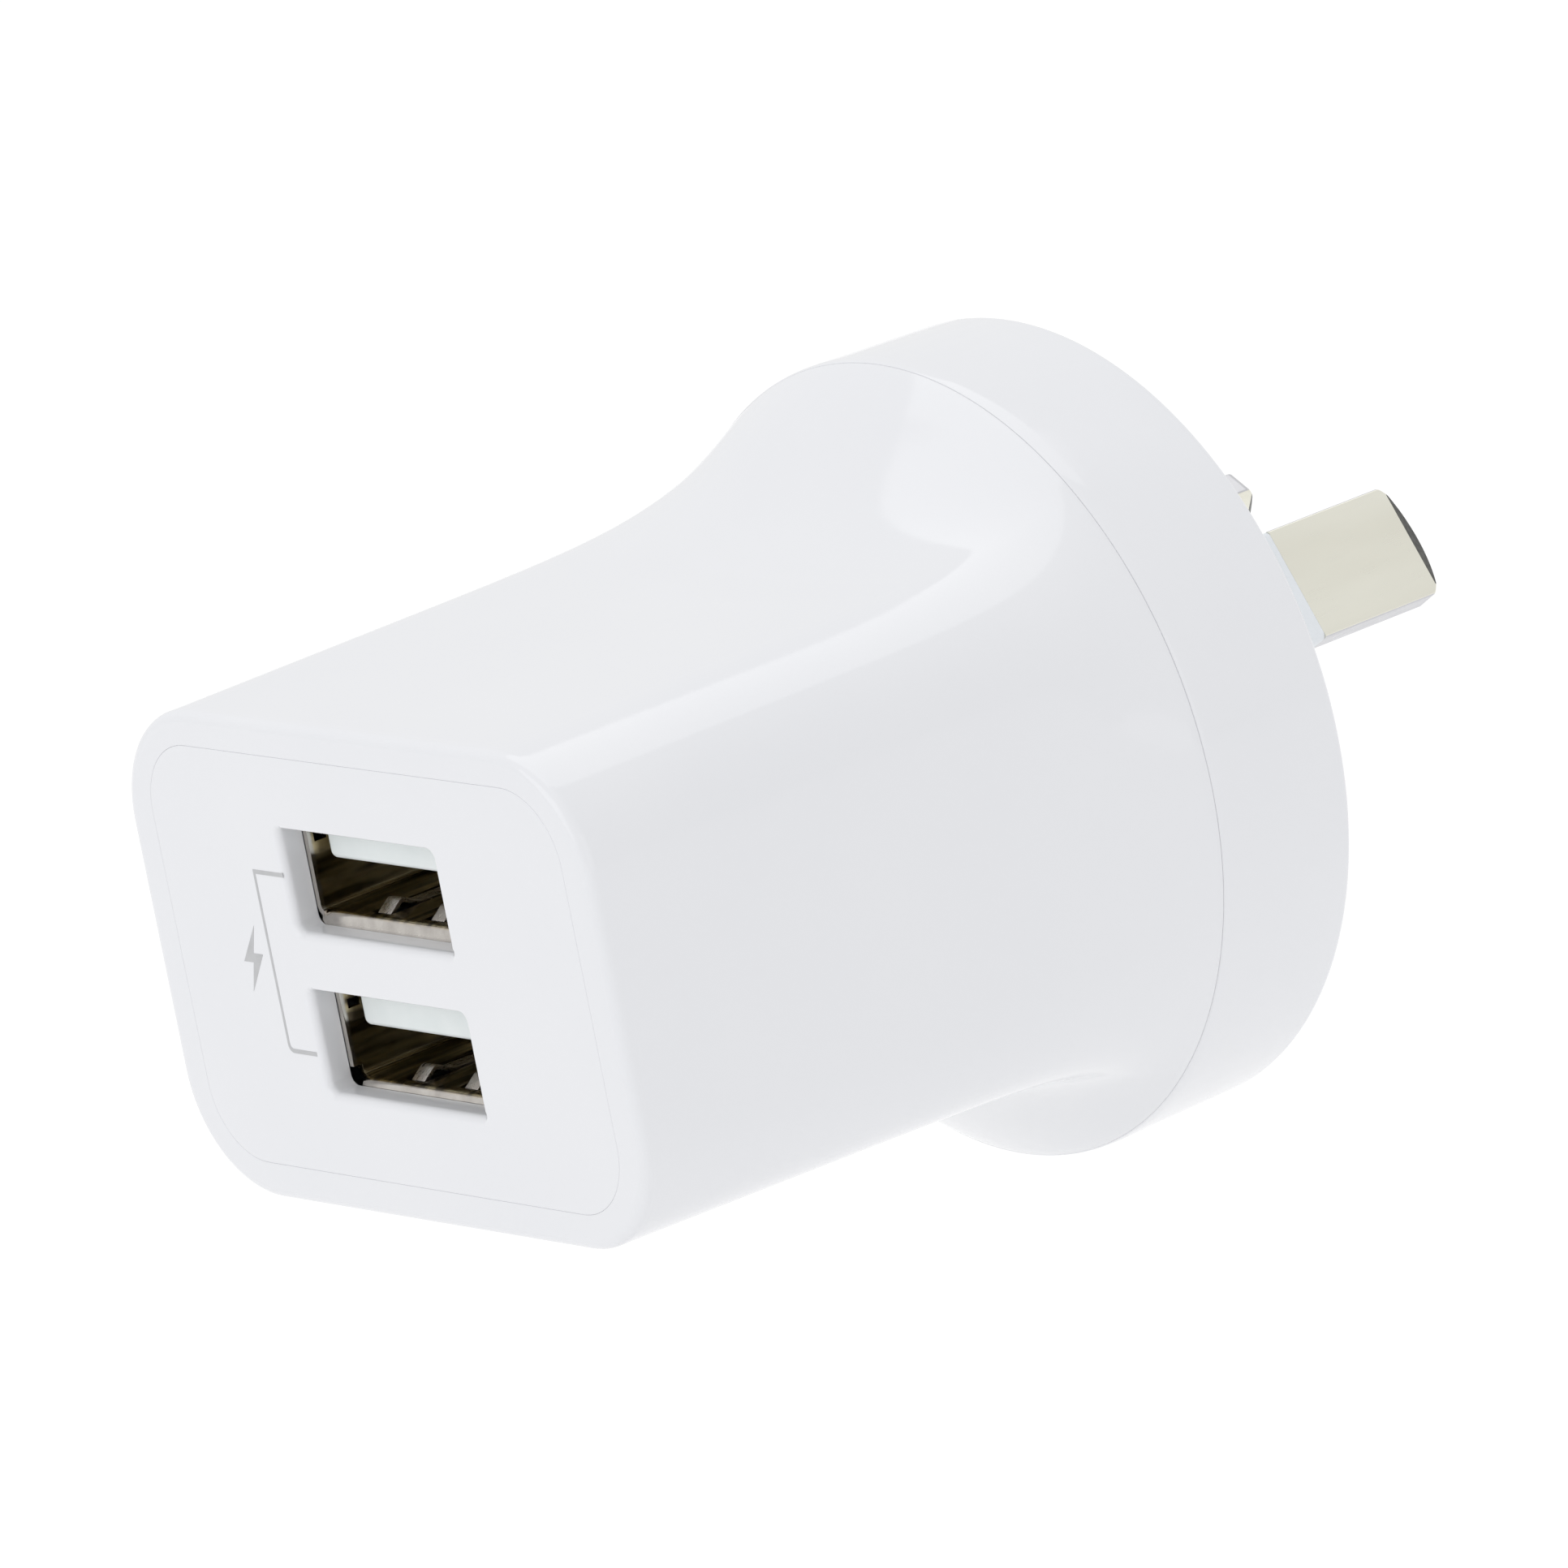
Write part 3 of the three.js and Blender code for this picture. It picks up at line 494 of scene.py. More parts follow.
def build_housing():
    """One closed wall: outside from front to seam, then back along the inside to the pocket."""
    end_y = SEAM_Y - PARTING / 2
    seam_edge = FLANGE["seam_edge"]
    pocket_edge = PANEL["edge"]
    first, last = FRONT_Y + BODY["edge"], end_y - seam_edge
    rings = [housing_ring(FRONT_Y + BODY["edge"] * a, BODY["edge"] * i) for a, i in quarter(10)]
    rings += [housing_ring(y, 0) for y in steps_between(first, last, 90)[1:-1]]
    rings += [housing_ring(end_y - seam_edge * i, seam_edge * a) for a, i in quarter(3)]
    register = COVER["spigot_radius"] + GAP
    rings.append(circle_ring(end_y, register))
    rings.append(circle_ring(SEAM_Y - COVER["register_depth"], register))
    inside_end = end_y - COVER["register_depth"] - COVER["register_step"]
    inside = [housing_ring(y, WALL) for y in steps_between(LEDGE_BACK_Y, inside_end, 14)]
    rings += reversed(inside)
    rings.append(panel_ring(LEDGE_BACK_Y, -LEDGE["inset"]))
    rings.append(panel_ring(PANEL_BACK_Y + GAP, -LEDGE["inset"]))
    rings.append(panel_ring(PANEL_BACK_Y + GAP, 0))
    rings += [panel_ring(FRONT_Y + pocket_edge * i, pocket_edge * a) for a, i in quarter(4)]
    rings.append(panel_ring(FRONT_Y, pocket_edge + RIM))
    rings.append(housing_ring(FRONT_Y, BODY["edge"] + RIM))
    return solid(rings, closed=True)


def build_panel():
    """The face plate, which fills its pocket in front, with a rounded mouth for each port."""
    bm = bmesh.new()
    edge, seam = PANEL["edge"], PANEL["seam"]
    rings = [
        panel_ring(PANEL_BACK_Y, -GAP),
        panel_ring(FRONT_Y + PANEL["step_depth"], -GAP),
        panel_ring(FRONT_Y + PANEL["seam_depth"], -seam),
    ]
    rings += [panel_ring(FRONT_Y + edge * i, -seam - edge * a) for a, i in quarter(4)]
    rings.append(panel_ring(FRONT_Y, -seam - edge - PANEL["rim"]))
    outer = add_skin(bm, rings)
    back, front = [outer[0]], [outer[-1]]
    for port in PORTS:
        rings = [mouth_ring(port, 0, 1, outset=RIM)]
        rings += [mouth_ring(port, i, a) for a, i in reversed(quarter(10))]
        rings.append(mouth_ring(port, 1, 0, along=0.1))
        rings.append([Vector((p.x, PANEL_BACK_Y, p.z)) for p in rings[-1]])
        mouth = add_skin(bm, rings)
        front.append(mouth[0])
        back.append(mouth[-1])
    fill_flat(bm, front)
    fill_flat(bm, back)
    bmesh.ops.recalc_face_normals(bm, faces=bm.faces)
    return work_object(bm)


def mouth_ring(port, inwards, outwards, outset=0.0, along=0.0):
    """A ring of a mouth's rounded edge: soft on the left and below, crisp on the right and above."""
    half_width, half_height = MOUTH["half_width"], MOUTH["half_height"]
    ring = []
    for turn, corner in enumerate(MOUTH_CORNERS):
        centre_x = (half_width - corner) * (1 if turn in (0, 3) else -1)
        centre_z = (half_height - corner) * (1 if turn in (0, 1) else -1) + port["z"] - MOUTH["lower"]
        for angle in steps_between(math.pi / 2 * turn, math.pi / 2 * (turn + 1), 16):
            softness = min(max(-math.cos(angle), 0) + max(-math.sin(angle), 0), 1)
            radius = MOUTH["crisp_edge"] + (MOUTH["edge"] - MOUTH["crisp_edge"]) * softness
            reach = corner + radius * outwards + outset
            x, z = centre_x + reach * math.cos(angle), centre_z + reach * math.sin(angle)
            ring.append(Vector((x, FRONT_Y + radius * inwards + along, z)))
    return ring


def build_cover():
    """The round cover: a rounded lip at the seam, a rounded rear edge and the flat plug face."""
    front_y = SEAM_Y + PARTING / 2
    spigot_y = SEAM_Y - COVER["spigot_length"]
    inner = COVER["spigot_radius"] - COVER["spigot_wall"]
    edge, lip = FLANGE["edge"], FLANGE["lip"]
    inside_y = -COVER["face_thickness"]
    profile = [(COVER["hub"], inside_y), (inner, inside_y), (inner, spigot_y)]
    profile += [(COVER["spigot_radius"], spigot_y), (COVER["spigot_radius"], front_y)]
    for a, i in quarter(8):
        y = front_y + FLANGE["lip_length"] * a
        profile.append((flange_radius(y) - lip * i, y))
    wall_from = front_y + FLANGE["lip_length"]
    profile += [(flange_radius(y), y) for y in steps_between(wall_from, -edge, 8)[1:-1]]
    profile += [(FLANGE["face_radius"] - edge * a, -edge * i) for a, i in quarter(10)]
    profile += [(FLANGE["face_radius"] - edge - COVER["rim"], 0.0), (COVER["hub"], 0.0)]
    turn = [2 * math.pi * i / AROUND for i in range(AROUND)]
    rings = []
    for radius, y in profile:
        rings.append([Vector((radius * math.cos(a), y, radius * math.sin(a))) for a in turn])
    cover = work_object(solid(rings))
    cutters = []
    for pin in PINS:
        half_x, half_z = BLADE["thickness"] / 2 + SLEEVE["bore"], BLADE["width"] / 2 + SLEEVE["bore"]
        slot_rings = [rect_ring(y, half_x, half_z, SLEEVE["corner"], steps=4) for y in COVER["slot_y"]]
        cutters.append(solid([[pin["place"] @ p for p in ring] for ring in slot_rings]))
    return combine("DIFFERENCE", cover, cutters)


# ---------------------------------------------------------------- pins

def pin_place(side):
    """Where a pin stands: side is -1 for the active pin on the left and 1 for the neutral one."""
    spread = math.radians(BLADE["spread"])
    across = Vector((side * BLADE["radius"] * math.sin(spread), 0, BLADE["radius"] * math.cos(spread)))
    return Matrix.Translation(across) @ Matrix.Rotation(-side * (math.pi / 2 - spread), 4, "Y")


PINS = [{"name": name, "place": pin_place(side)} for name, side in (("active", -1), ("neutral", 1))]


def blade_plan(inset):
    """A blade's flat outline as (y, z) points: straight sides, rounded corners and a crowned tip."""
    half = BLADE["width"] / 2 - inset
    rise = BLADE_TIP - BLADE["shoulder"]
    crown = ((BLADE["width"] / 2) ** 2 + rise**2) / (2 * rise)
    centre = BLADE_TIP - crown
    corner = BLADE["plan_corner"] - inset
    # The corner's circle touches the side and lies inside the crown.
    corner_z = half - corner
    corner_y = centre + math.sqrt((crown - inset - corner) ** 2 - corner_z**2)
    lean = math.atan2(corner_z, corner_y - centre)
    back = SLEEVE_HIGH.y + BLADE["joint"]
    points = [(back, -half)]
    points += [(y, -half) for y in steps_between(back, corner_y, 6)[1:-1]]
    for angle in steps_between(-math.pi / 2, -lean, 8):
        points.append((corner_y + corner * math.cos(angle), -corner_z + corner * math.sin(angle)))
    for angle in steps_between(-lean, lean, 28)[1:-1]:
        points.append((centre + (crown - inset) * math.cos(angle), (crown - inset) * math.sin(angle)))
    for angle in steps_between(lean, math.pi / 2, 8):
        points.append((corner_y + corner * math.cos(angle), corner_z + corner * math.sin(angle)))
    points += [(y, half) for y in steps_between(corner_y, back, 6)[1:-1]]
    points.append((back, half))
    return points


def facing(pin, direction, reach):
    """A test for a pin's faces that look nearly in a direction, or in its mirror images in x and z."""
    turn = pin["place"].to_3x3().inverted()
    wanted = Vector(direction).normalized()

    def test(normal):
        local = turn @ normal
        return (Vector((abs(local.x), local.y, abs(local.z))) - wanted).length < reach

    return test


def build_blade(pin):
    """A pin's bare metal with its bevelled tip, and the thinner neck that the sleeve and cover hold."""
    half = BLADE["thickness"] / 2
    tip_half = BLADE["tip_thickness"] / 2
    edge = BLADE["edge"]
    levels = [(half - edge * i, edge * a) for a, i in quarter(5)][::-1]
    rings = []
    for x, inset in levels + [(-x, inset) for x, inset in reversed(levels)]:
        rings.append([Vector((x, y, z)) for y, z in blade_plan(inset)])
    blade = work_object(solid(rings))
    # The wedge that the tip is ground to, a little larger than the blade everywhere else.
    slope = (half - tip_half) / (BLADE_TIP - BLADE["taper_from"])
    spare = 0.2
    wedge = [
        (half + spare, SLEEVE_HIGH.y - spare),
        (half + spare, BLADE["taper_from"] - spare / slope),
        (tip_half - spare * slope, BLADE_TIP + spare),
    ]
    wedge += [(-x, y) for x, y in reversed(wedge)]
    wedge_half = BLADE["width"] / 2 + spare
    wedge_rings = [[Vector((x, y, z)) for x, y in wedge] for z in (-wedge_half, wedge_half)]
    combine("INTERSECT", blade, [solid(wedge_rings)])
    neck_low = box_mm(pin["name"] + "_blade")[0].y
    neck = [
        rect_ring(y, NECK["thickness"] / 2, NECK["width"] / 2, NECK["corner"], steps=3)
        for y in (neck_low, SLEEVE_HIGH.y + NECK["into_blade"])
    ]
    combine("UNION", blade, [solid(neck)])
    blade.data.transform(pin["place"])
    return blade


def build_sleeve(pin):
    """The insulating sleeve: a rounded tube, flush with the bare metal beyond it."""
    half_x, half_z = BLADE["thickness"] / 2, BLADE["width"] / 2
    bore_x = NECK["thickness"] / 2 + SLEEVE["bore"]
    bore_z = NECK["width"] / 2 + SLEEVE["bore"]
    end, edge, corner = SLEEVE_HIGH.y, SLEEVE["edge"], SLEEVE["corner"]
    rings = [rect_ring(SLEEVE_LOW.y, half_x, half_z, corner)]
    rings += [rect_ring(y, half_x, half_z, corner) for y in steps_between(0, end - edge, 8)[:-1]]
    for a, i in quarter(4):
        inset = edge * a
        rings.append(rect_ring(end - edge * i, half_x - inset, half_z - inset, corner - inset))
    rings.append(rect_ring(end, bore_x, bore_z, NECK["corner"]))
    rings.append(rect_ring(SLEEVE_LOW.y, bore_x, bore_z, NECK["corner"]))
    sleeve = work_object(solid(rings, closed=True))
    sleeve.data.transform(pin["place"])
    return sleeve


# ---------------------------------------------------------------- USB ports

def shell_lines(needed, longest):
    """Sorted stations through the needed ones, no further apart than longest."""
    needed = sorted({round(value, 6) for value in needed})
    made = [needed[0]]
    for start, end in zip(needed, needed[1:]):
        count = max(math.ceil((end - start) / longest), 1)
        made += steps_between(start, end, count)[1:]
    return made


def lip_stations(port):
    """The lips' (y, outwards) places: a round bend with a short straight end beyond it."""
    bend, turn, end = port["bend"], math.radians(SHELL["lip_turn"]), port["lip_end"]
    start = bend * math.sin(turn) + end * math.cos(turn)
    tip = bend * (1 - math.cos(turn)) + end * math.sin(turn)
    made = [(0.0, tip)]
    for angle in steps_between(turn, 0, 8):
        made.append((start - bend * math.sin(angle), bend * (1 - math.cos(angle))))
    return made


def shell_outline(half_width, half_height, corner, xs, zs):
    """The shell's inner section as (x, z, part) points, anticlockwise from the floor's left end."""
    flat_x, flat_z = half_width - corner, half_height - corner
    arc = [math.pi / 2 * i / 5 for i in range(1, 5)]
    rising = [(corner * math.sin(a), corner * math.cos(a)) for a in arc]
    turning = [(corner * math.cos(a), corner * math.sin(a)) for a in arc]
    outline = [(x, -half_height, "floor") for x in xs]
    outline += [(flat_x + a, -flat_z - b, "corner") for a, b in rising]
    outline += [(half_width, z, "side") for z in zs]
    outline += [(flat_x + a, flat_z + b, "corner") for a, b in turning]
    outline += [(x, half_height, "roof") for x in reversed(xs)]
    outline += [(-flat_x - a, flat_z + b, "corner") for a, b in rising]
    outline += [(-half_width, z, "side") for z in reversed(zs)]
    outline += [(-flat_x - a, -flat_z - b, "corner") for a, b in turning]
    return outline


def build_shell(port):
    """A stamped shell: a folded sheet with flared lips, cut corners, spring slots and side windows."""
    low, high = port["shell"]
    wall = SHELL["wall"]
    half_width = (high.x - low.x) / 2 - wall - SHELL["narrower"]
    half_height = (high.z - low.z) / 2 - wall
    corner = SHELL["corner"] - wall
    front_y = low.y - SHELL["forward"]
    length = high.y - front_y
    flat_x, flat_z = half_width - corner, half_height - corner
    slot_from, slot_to, slot_half = SPRING["slot_from"], SPRING["slot_to"], SPRING["slot"] / 2
    slot_edges = [side * (SPRING["x"] + edge) for side in (-1, 1) for edge in (-slot_half, slot_half)]
    tab = flat_x - port["notch_x"]
    notch_top = -flat_z + port["notch_z"]
    lip = lip_stations(port)
    torn = port["notch_x"] == 0
    spreading = (half_width + TORN_LIP["reach"]) / flat_x - 1 if torn else 0
    notch, cell = SHELL["notch_depth"], SHELL["cell"]
    xs = shell_lines([-flat_x, flat_x, -tab, tab, *slot_edges], cell)
    zs = shell_lines([-flat_z, flat_z, notch_top, *WINDOW["z"]], cell)
    ys = shell_lines([lip[-1][0], notch, slot_from, slot_to, *WINDOW["y"], length], cell)
    rows = lip + [(y, 0.0) for y in ys[1:]]
    outline = shell_outline(half_width, half_height, corner, xs, zs)

    def parted(first, second, y):
        """Where the lips tear away from the sides, in a port whose corners are not cut."""
        edge_of_corner = "corner" in (first, second) and first != second
        return torn and y < notch and edge_of_corner and "side" not in (first, second)

    def opened(x, z, y):
        """Where the sheet is cut away: the springs' slots, the notched corners and the windows."""
        over_slot = abs(abs(x) - SPRING["x"]) < slot_half
        in_slot = over_slot and z < -flat_z and slot_from < y < slot_to
        beside_lip = abs(x) > tab and (abs(z) > flat_z or z < notch_top)
        at_corner = beside_lip and y < notch and not torn
        (from_y, to_y), (from_z, to_z) = WINDOW["y"], WINDOW["z"]
        in_window = abs(x) > flat_x and from_z < z < to_z and from_y < y < to_y
        return in_slot or at_corner or in_window

    bm = bmesh.new()
    grid = []
    for y, bent in rows:
        spread_share = min(max(bent - TORN_LIP["from"], 0) / TORN_LIP["over"], 1)
        row = []
        for x, z, part in outline:
            outwards = {"floor": -bent, "roof": bent}.get(part, 0)
            wider = 1 + spreading * spread_share if outwards else 1
            row.append(bm.verts.new((x * wider, front_y + y, port["shell_z"] + z + outwards)))
        grid.append(row)
    count = len(outline)
    for j in range(len(rows) - 1):
        for i in range(count):
            k = (i + 1) % count
            x = (outline[i][0] + outline[k][0]) / 2
            z = (outline[i][1] + outline[k][1]) / 2
            y = (rows[j][0] + rows[j + 1][0]) / 2
            if not opened(x, z, y) and not parted(outline[i][2], outline[k][2], y):
                bm.faces.new((grid[j][i], grid[j][k], grid[j + 1][k], grid[j + 1][i]))
    loose = [vert for vert in bm.verts if not vert.link_faces]
    bmesh.ops.delete(bm, geom=loose, context="VERTS")
    shell = work_object(bm)
    # The grid's normals look into the port, so a negative offset adds the wall on the outside.
    thicken = shell.modifiers.new("thicken", "SOLIDIFY")
    thicken.thickness = wall
    thicken.offset = -1.0
    thicken.use_even_offset = True
    apply_modifiers(shell)
    return soften(shell, SHELL["edge"], segments=2, angle=50)


def build_tongue(port):
    """The white insulator: a rounded tongue grooved for the contacts, on a block behind it."""
    low, high = port["tongue"]
    shell_low, shell_high = port["shell"]
    front_y = shell_low.y
    mid_z = port["shell_z"] + (TONGUE["low"] + TONGUE["high"]) / 2
    half_height = (TONGUE["high"] - TONGUE["low"]) / 2
    half_width = TONGUE["half_width"]
    corner, edge = TONGUE["corner"], TONGUE["edge"]
    block_y = front_y + TONGUE["block"]
    rings = []
    for a, i in quarter(5):
        inset, y = edge * i, low.y + edge * a
        rings.append(
            rect_ring(y, half_width - inset, half_height - inset, corner - inset, z=mid_z, steps=6)
        )
    into_block = 0.4
    rings.append(rect_ring(block_y + into_block, half_width, half_height, corner, z=mid_z, steps=6))
    tongue = work_object(solid(rings))
    below_tongue, groove_end = mid_z - half_height - 1, block_y - 0.05
    grooves = []
    for x in CONTACTS.values():
        groove_low = (x - TONGUE["groove"] / 2, front_y + TONGUE["groove_from"], below_tongue)
        groove_high = (x + TONGUE["groove"] / 2, groove_end, port["shell_z"] + TONGUE["roof"])
        grooves.append(block(groove_low, groove_high))
    combine("DIFFERENCE", tongue, grooves)
    gap = SHELL["wall"] + TONGUE["block_gap"]
    block_x = (shell_high.x - shell_low.x) / 2 - gap - SHELL["narrower"]
    block_z = (shell_high.z - shell_low.z) / 2 - gap
    rear = [
        rect_ring(y, block_x, block_z, TONGUE["block_corner"], z=port["shell_z"], steps=6)
        for y in (block_y, high.y)
    ]
    combine("UNION", tongue, [solid(rear)])
    return soften(tongue, TONGUE["soft_edge"], segments=2, angle=50)


def path_in_port(port, path, bend):
    """A path of (y, z) points inside a port, moved to its place, with its bends rounded."""
    start = Vector((port["shell"][0].y, port["shell_z"]))
    return [start + point for point in rounded_path(path, bend)]


def build_spring(port, x):
    """A leaf spring that rises through the floor's slot, crests and dips towards the mouth."""
    path = path_in_port(port, SPRING_PATH, SPRING["bend"])
    return solid(ribbon(path, x, SPRING["width"], SPRING["thickness"], SPRING["corner"]))


def build_contact(port, x):
    """A contact strip that hangs in its groove, bows towards the plug and narrows at its tip."""
    path = path_in_port(port, CONTACT_PATH, CONTACT["bend"])
    tip = (CONTACT["tip_length"], CONTACT["tip_width"])
    return solid(ribbon(path, x, CONTACT["width"], CONTACT["thickness"], CONTACT["corner"], *tip))


# ---------------------------------------------------------------- print on the face

def film(outline, name):
    """A thin film of ink on the panel, over an outline of (x, z) points."""
    stations = (FRONT_Y - INK["height"], FRONT_Y + INK["sunk"])
    rings = [[Vector((x, y, z)) for x, z in outline] for y in stations]
    return finish_piece(solid(rings), name, ROOT, (), INK_MATERIAL)


def bend_points(centre, radius, start, end):
    angles = steps_between(start, end, 6)
    return [(centre[0] + radius * math.cos(a), centre[1] + radius * math.sin(a)) for a in angles]


def bracket_outline():
    """A thin bracket beside the ports: an upright with an arm at each end, the lower bend rounded."""
    spine, arm_x, low_arm_x = INK["spine_x"], INK["arm_x"], INK["low_arm_x"]
    top, bottom = INK["top"], INK["bottom"]
    half, arm = INK["stroke"] / 2, INK["arm"]
    bend = INK["bend"]
    inner_bend = bend - INK["stroke"]
    left, down = math.pi, 1.5 * math.pi
    outer = [(arm_x, top), (spine - half, top)]
    outer += bend_points((spine - half + bend, bottom + bend), bend, left, down)
    low_arm = [(low_arm_x, bottom), (low_arm_x, bottom + arm)]
    inner_centre = (spine + half + inner_bend, bottom + arm + inner_bend)
    inner = bend_points(inner_centre, inner_bend, down, left)
    inner += [(spine + half, top - arm), (arm_x, top - arm)]
    return outer + low_arm + inner


def bolt_outline():
    """A generic lightning bolt about the symbol's centre, in shares of its height."""
    x, z, height = INK["symbol_x"], INK["symbol_z"], INK["symbol_height"]
    shape = [(0.16, 0.5), (-0.24, -0.06), (-0.02, -0.06), (-0.16, -0.5), (0.24, 0.08), (0.02, 0.08)]
    return [(x + a * height, z + b * height) for a, b in shape]


# ---------------------------------------------------------------- materials

def noise_at(tree, mapping, scale, detail=2.0, roughness=0.5):
    noise = tree.nodes.new("ShaderNodeTexNoise")
    noise.inputs["Scale"].default_value = scale
    noise.inputs["Detail"].default_value = detail
    noise.inputs["Roughness"].default_value = roughness
    tree.links.new(mapping.outputs["Vector"], noise.inputs["Vector"])
    return noise.outputs["Fac"]


def spread(tree, value, low, high, from_low=0.3, from_high=0.7):
    """Maps a value onto a range. Noise mostly stays between the default limits."""
    node = tree.nodes.new("ShaderNodeMapRange")
    tree.links.new(value, node.inputs["Value"])
    node.inputs["From Min"].default_value = from_low
    node.inputs["From Max"].default_value = from_high
    node.inputs["To Min"].default_value = low
    node.inputs["To Max"].default_value = high
    return node.outputs["Result"]


def mix_colors(tree, factor, first, second):
    node = tree.nodes.new("ShaderNodeMix")
    node.data_type = "RGBA"
    tree.links.new(factor, node.inputs[0])
    for socket, value in ((node.inputs[6], first), (node.inputs[7], second)):
        if isinstance(value, bpy.types.NodeSocket):
            tree.links.new(value, socket)
        else:
            socket.default_value = (*value, 1)
    return node.outputs[2]


# Noise for the painted dark reflections that streak the painted shade inside a port.
PAINTED_REFLECTION_STREAKS = {"scale": 1500, "range": (0.42, 0.62)}


def make_material(
    name,
    color,
    other,
    roughness,
    metallic=0.0,
    patch=120,
    grain=2500,
    relief=2e-6,
    stretch=(1, 1, 1),
    ior=1.5,
    painted_inner_shade=None,
):
    """Colour drifts between two tones in patches; a finer grain drives roughness and relief.

    The last argument is a colour of painted shade, a darker colour of painted dark reflections that
    streaks it, and the two stations in millimetres between which they take over from the outer tones, so
    that the metal is painted darker further in.
    """
    material = bpy.data.materials.new(name)
    material.use_nodes = True
    tree = material.node_tree
    shader = tree.nodes["Principled BSDF"]
    coords = tree.nodes.new("ShaderNodeTexCoord")
    mapping = tree.nodes.new("ShaderNodeMapping")
    mapping.inputs["Scale"].default_value = stretch
    tree.links.new(coords.outputs["Object"], mapping.inputs["Vector"])
    patches = noise_at(tree, mapping, patch)
    fine = noise_at(tree, mapping, grain, detail=3.0)
    tone = mix_colors(tree, spread(tree, patches, 0, 1), color, other)
    if painted_inner_shade:
        # Painted shade further in, streaked with painted dark reflections.
        painted_shade_color, painted_reflection_color, (start, end) = painted_inner_shade
        painted_reflection_noise = noise_at(tree, mapping, PAINTED_REFLECTION_STREAKS["scale"], detail=1.0)
        painted_reflection_share = spread(tree, painted_reflection_noise, 0, 1, *PAINTED_REFLECTION_STREAKS["range"])
        painted_shade_tone = mix_colors(tree, painted_reflection_share, painted_shade_color, painted_reflection_color)
        parts = tree.nodes.new("ShaderNodeSeparateXYZ")
        tree.links.new(coords.outputs["Object"], parts.inputs["Vector"])
        inwards = spread(tree, parts.outputs["Y"], 0, 1, start * MM, end * MM)
        tone = mix_colors(tree, inwards, tone, painted_shade_tone)
    tree.links.new(tone, shader.inputs["Base Color"])
    tree.links.new(spread(tree, fine, *roughness), shader.inputs["Roughness"])
    bump = tree.nodes.new("ShaderNodeBump")
    bump.inputs["Strength"].default_value = 1.0
    bump.inputs["Distance"].default_value = relief
    tree.links.new(fine, bump.inputs["Height"])
    tree.links.new(bump.outputs["Normal"], shader.inputs["Normal"])
    shader.inputs["Metallic"].default_value = metallic
    shader.inputs["IOR"].default_value = ior
    return material


WHITE = make_material(
    "gloss_white",
    (0.740, 0.748, 0.774),
    (0.750, 0.757, 0.781),
    (0.07, 0.11),
    patch=90,
    grain=1400,
    relief=1.5e-6,
)
BLADE_METAL = make_material(
    "blade_nickel",
    (0.77, 0.755, 0.66),
    (0.83, 0.82, 0.73),
    (0.26, 0.38),
    metallic=1.0,
    patch=300,
    grain=3000,
    relief=2e-6,
    stretch=(1, 0.15, 1),
)
# A near-black painted dark reflection for the bevels at the pins' tips.
PIN_TIP_PAINTED_REFLECTION = make_material(
    "pin_tip_painted_reflection",
    (0.022, 0.022, 0.018),
    (0.045, 0.044, 0.036),
    (0.3, 0.45),
    metallic=1.0,
    patch=700,
    grain=4000,
    relief=4e-6,
)
CUT_METAL = make_material(
    "pin_side_metal",
    (0.55, 0.55, 0.57),
    (0.63, 0.63, 0.65),
    (0.26, 0.38),
    metallic=1.0,
    patch=400,
    grain=4000,
    relief=3e-6,
    stretch=(1, 0.2, 1),
)
SLEEVE_PLASTIC = make_material(
    "sleeve_plastic",
    (0.72, 0.75, 0.78),
    (0.76, 0.79, 0.82),
    (0.42, 0.55),
    patch=200,
    grain=4000,
    relief=3e-6,
)
# Nickel at the mouth. Just behind it, the inside turns to a brown painted shade, streaked with darker
# painted reflections.
SHELL_METAL_AND_PAINTED_SHADE = make_material(
    "shell_nickel_and_painted_shade",
    (0.48, 0.45, 0.42),
    (0.62, 0.59, 0.55),
    (0.12, 0.24),
    metallic=1.0,
    patch=900,
    grain=5000,
    relief=2e-6,
    stretch=(1, 0.12, 1),
    painted_inner_shade=((0.60, 0.50, 0.31), (0.15, 0.12, 0.08), (-44.70, -44.55)),
)
SPRING_METAL = make_material(
    "spring_steel",
    (0.62, 0.57, 0.52),
    (0.74, 0.69, 0.64),
    (0.22, 0.36),
    metallic=1.0,
    patch=900,
    grain=5000,
    relief=2e-6,
    stretch=(1, 0.2, 1),
)
CONTACT_METAL = make_material(
    "contact_gold",
    (0.83, 0.62, 0.28),
    (0.9, 0.7, 0.36),
    (0.18, 0.3),
    metallic=1.0,
    patch=900,
    grain=5000,
    relief=2e-6,
)
TONGUE_PLASTIC = make_material(
    "tongue_plastic",
    (0.74, 0.79, 0.79),
    (0.79, 0.83, 0.83),
    (0.35, 0.5),
    patch=500,
    grain=3500,
    relief=4e-6,
)
INK_MATERIAL = make_material(
    "face_ink",
    (0.43, 0.435, 0.445),
    (0.49, 0.495, 0.505),
    (0.3, 0.45),
    patch=900,
    grain=6000,
    relief=2e-6,
)

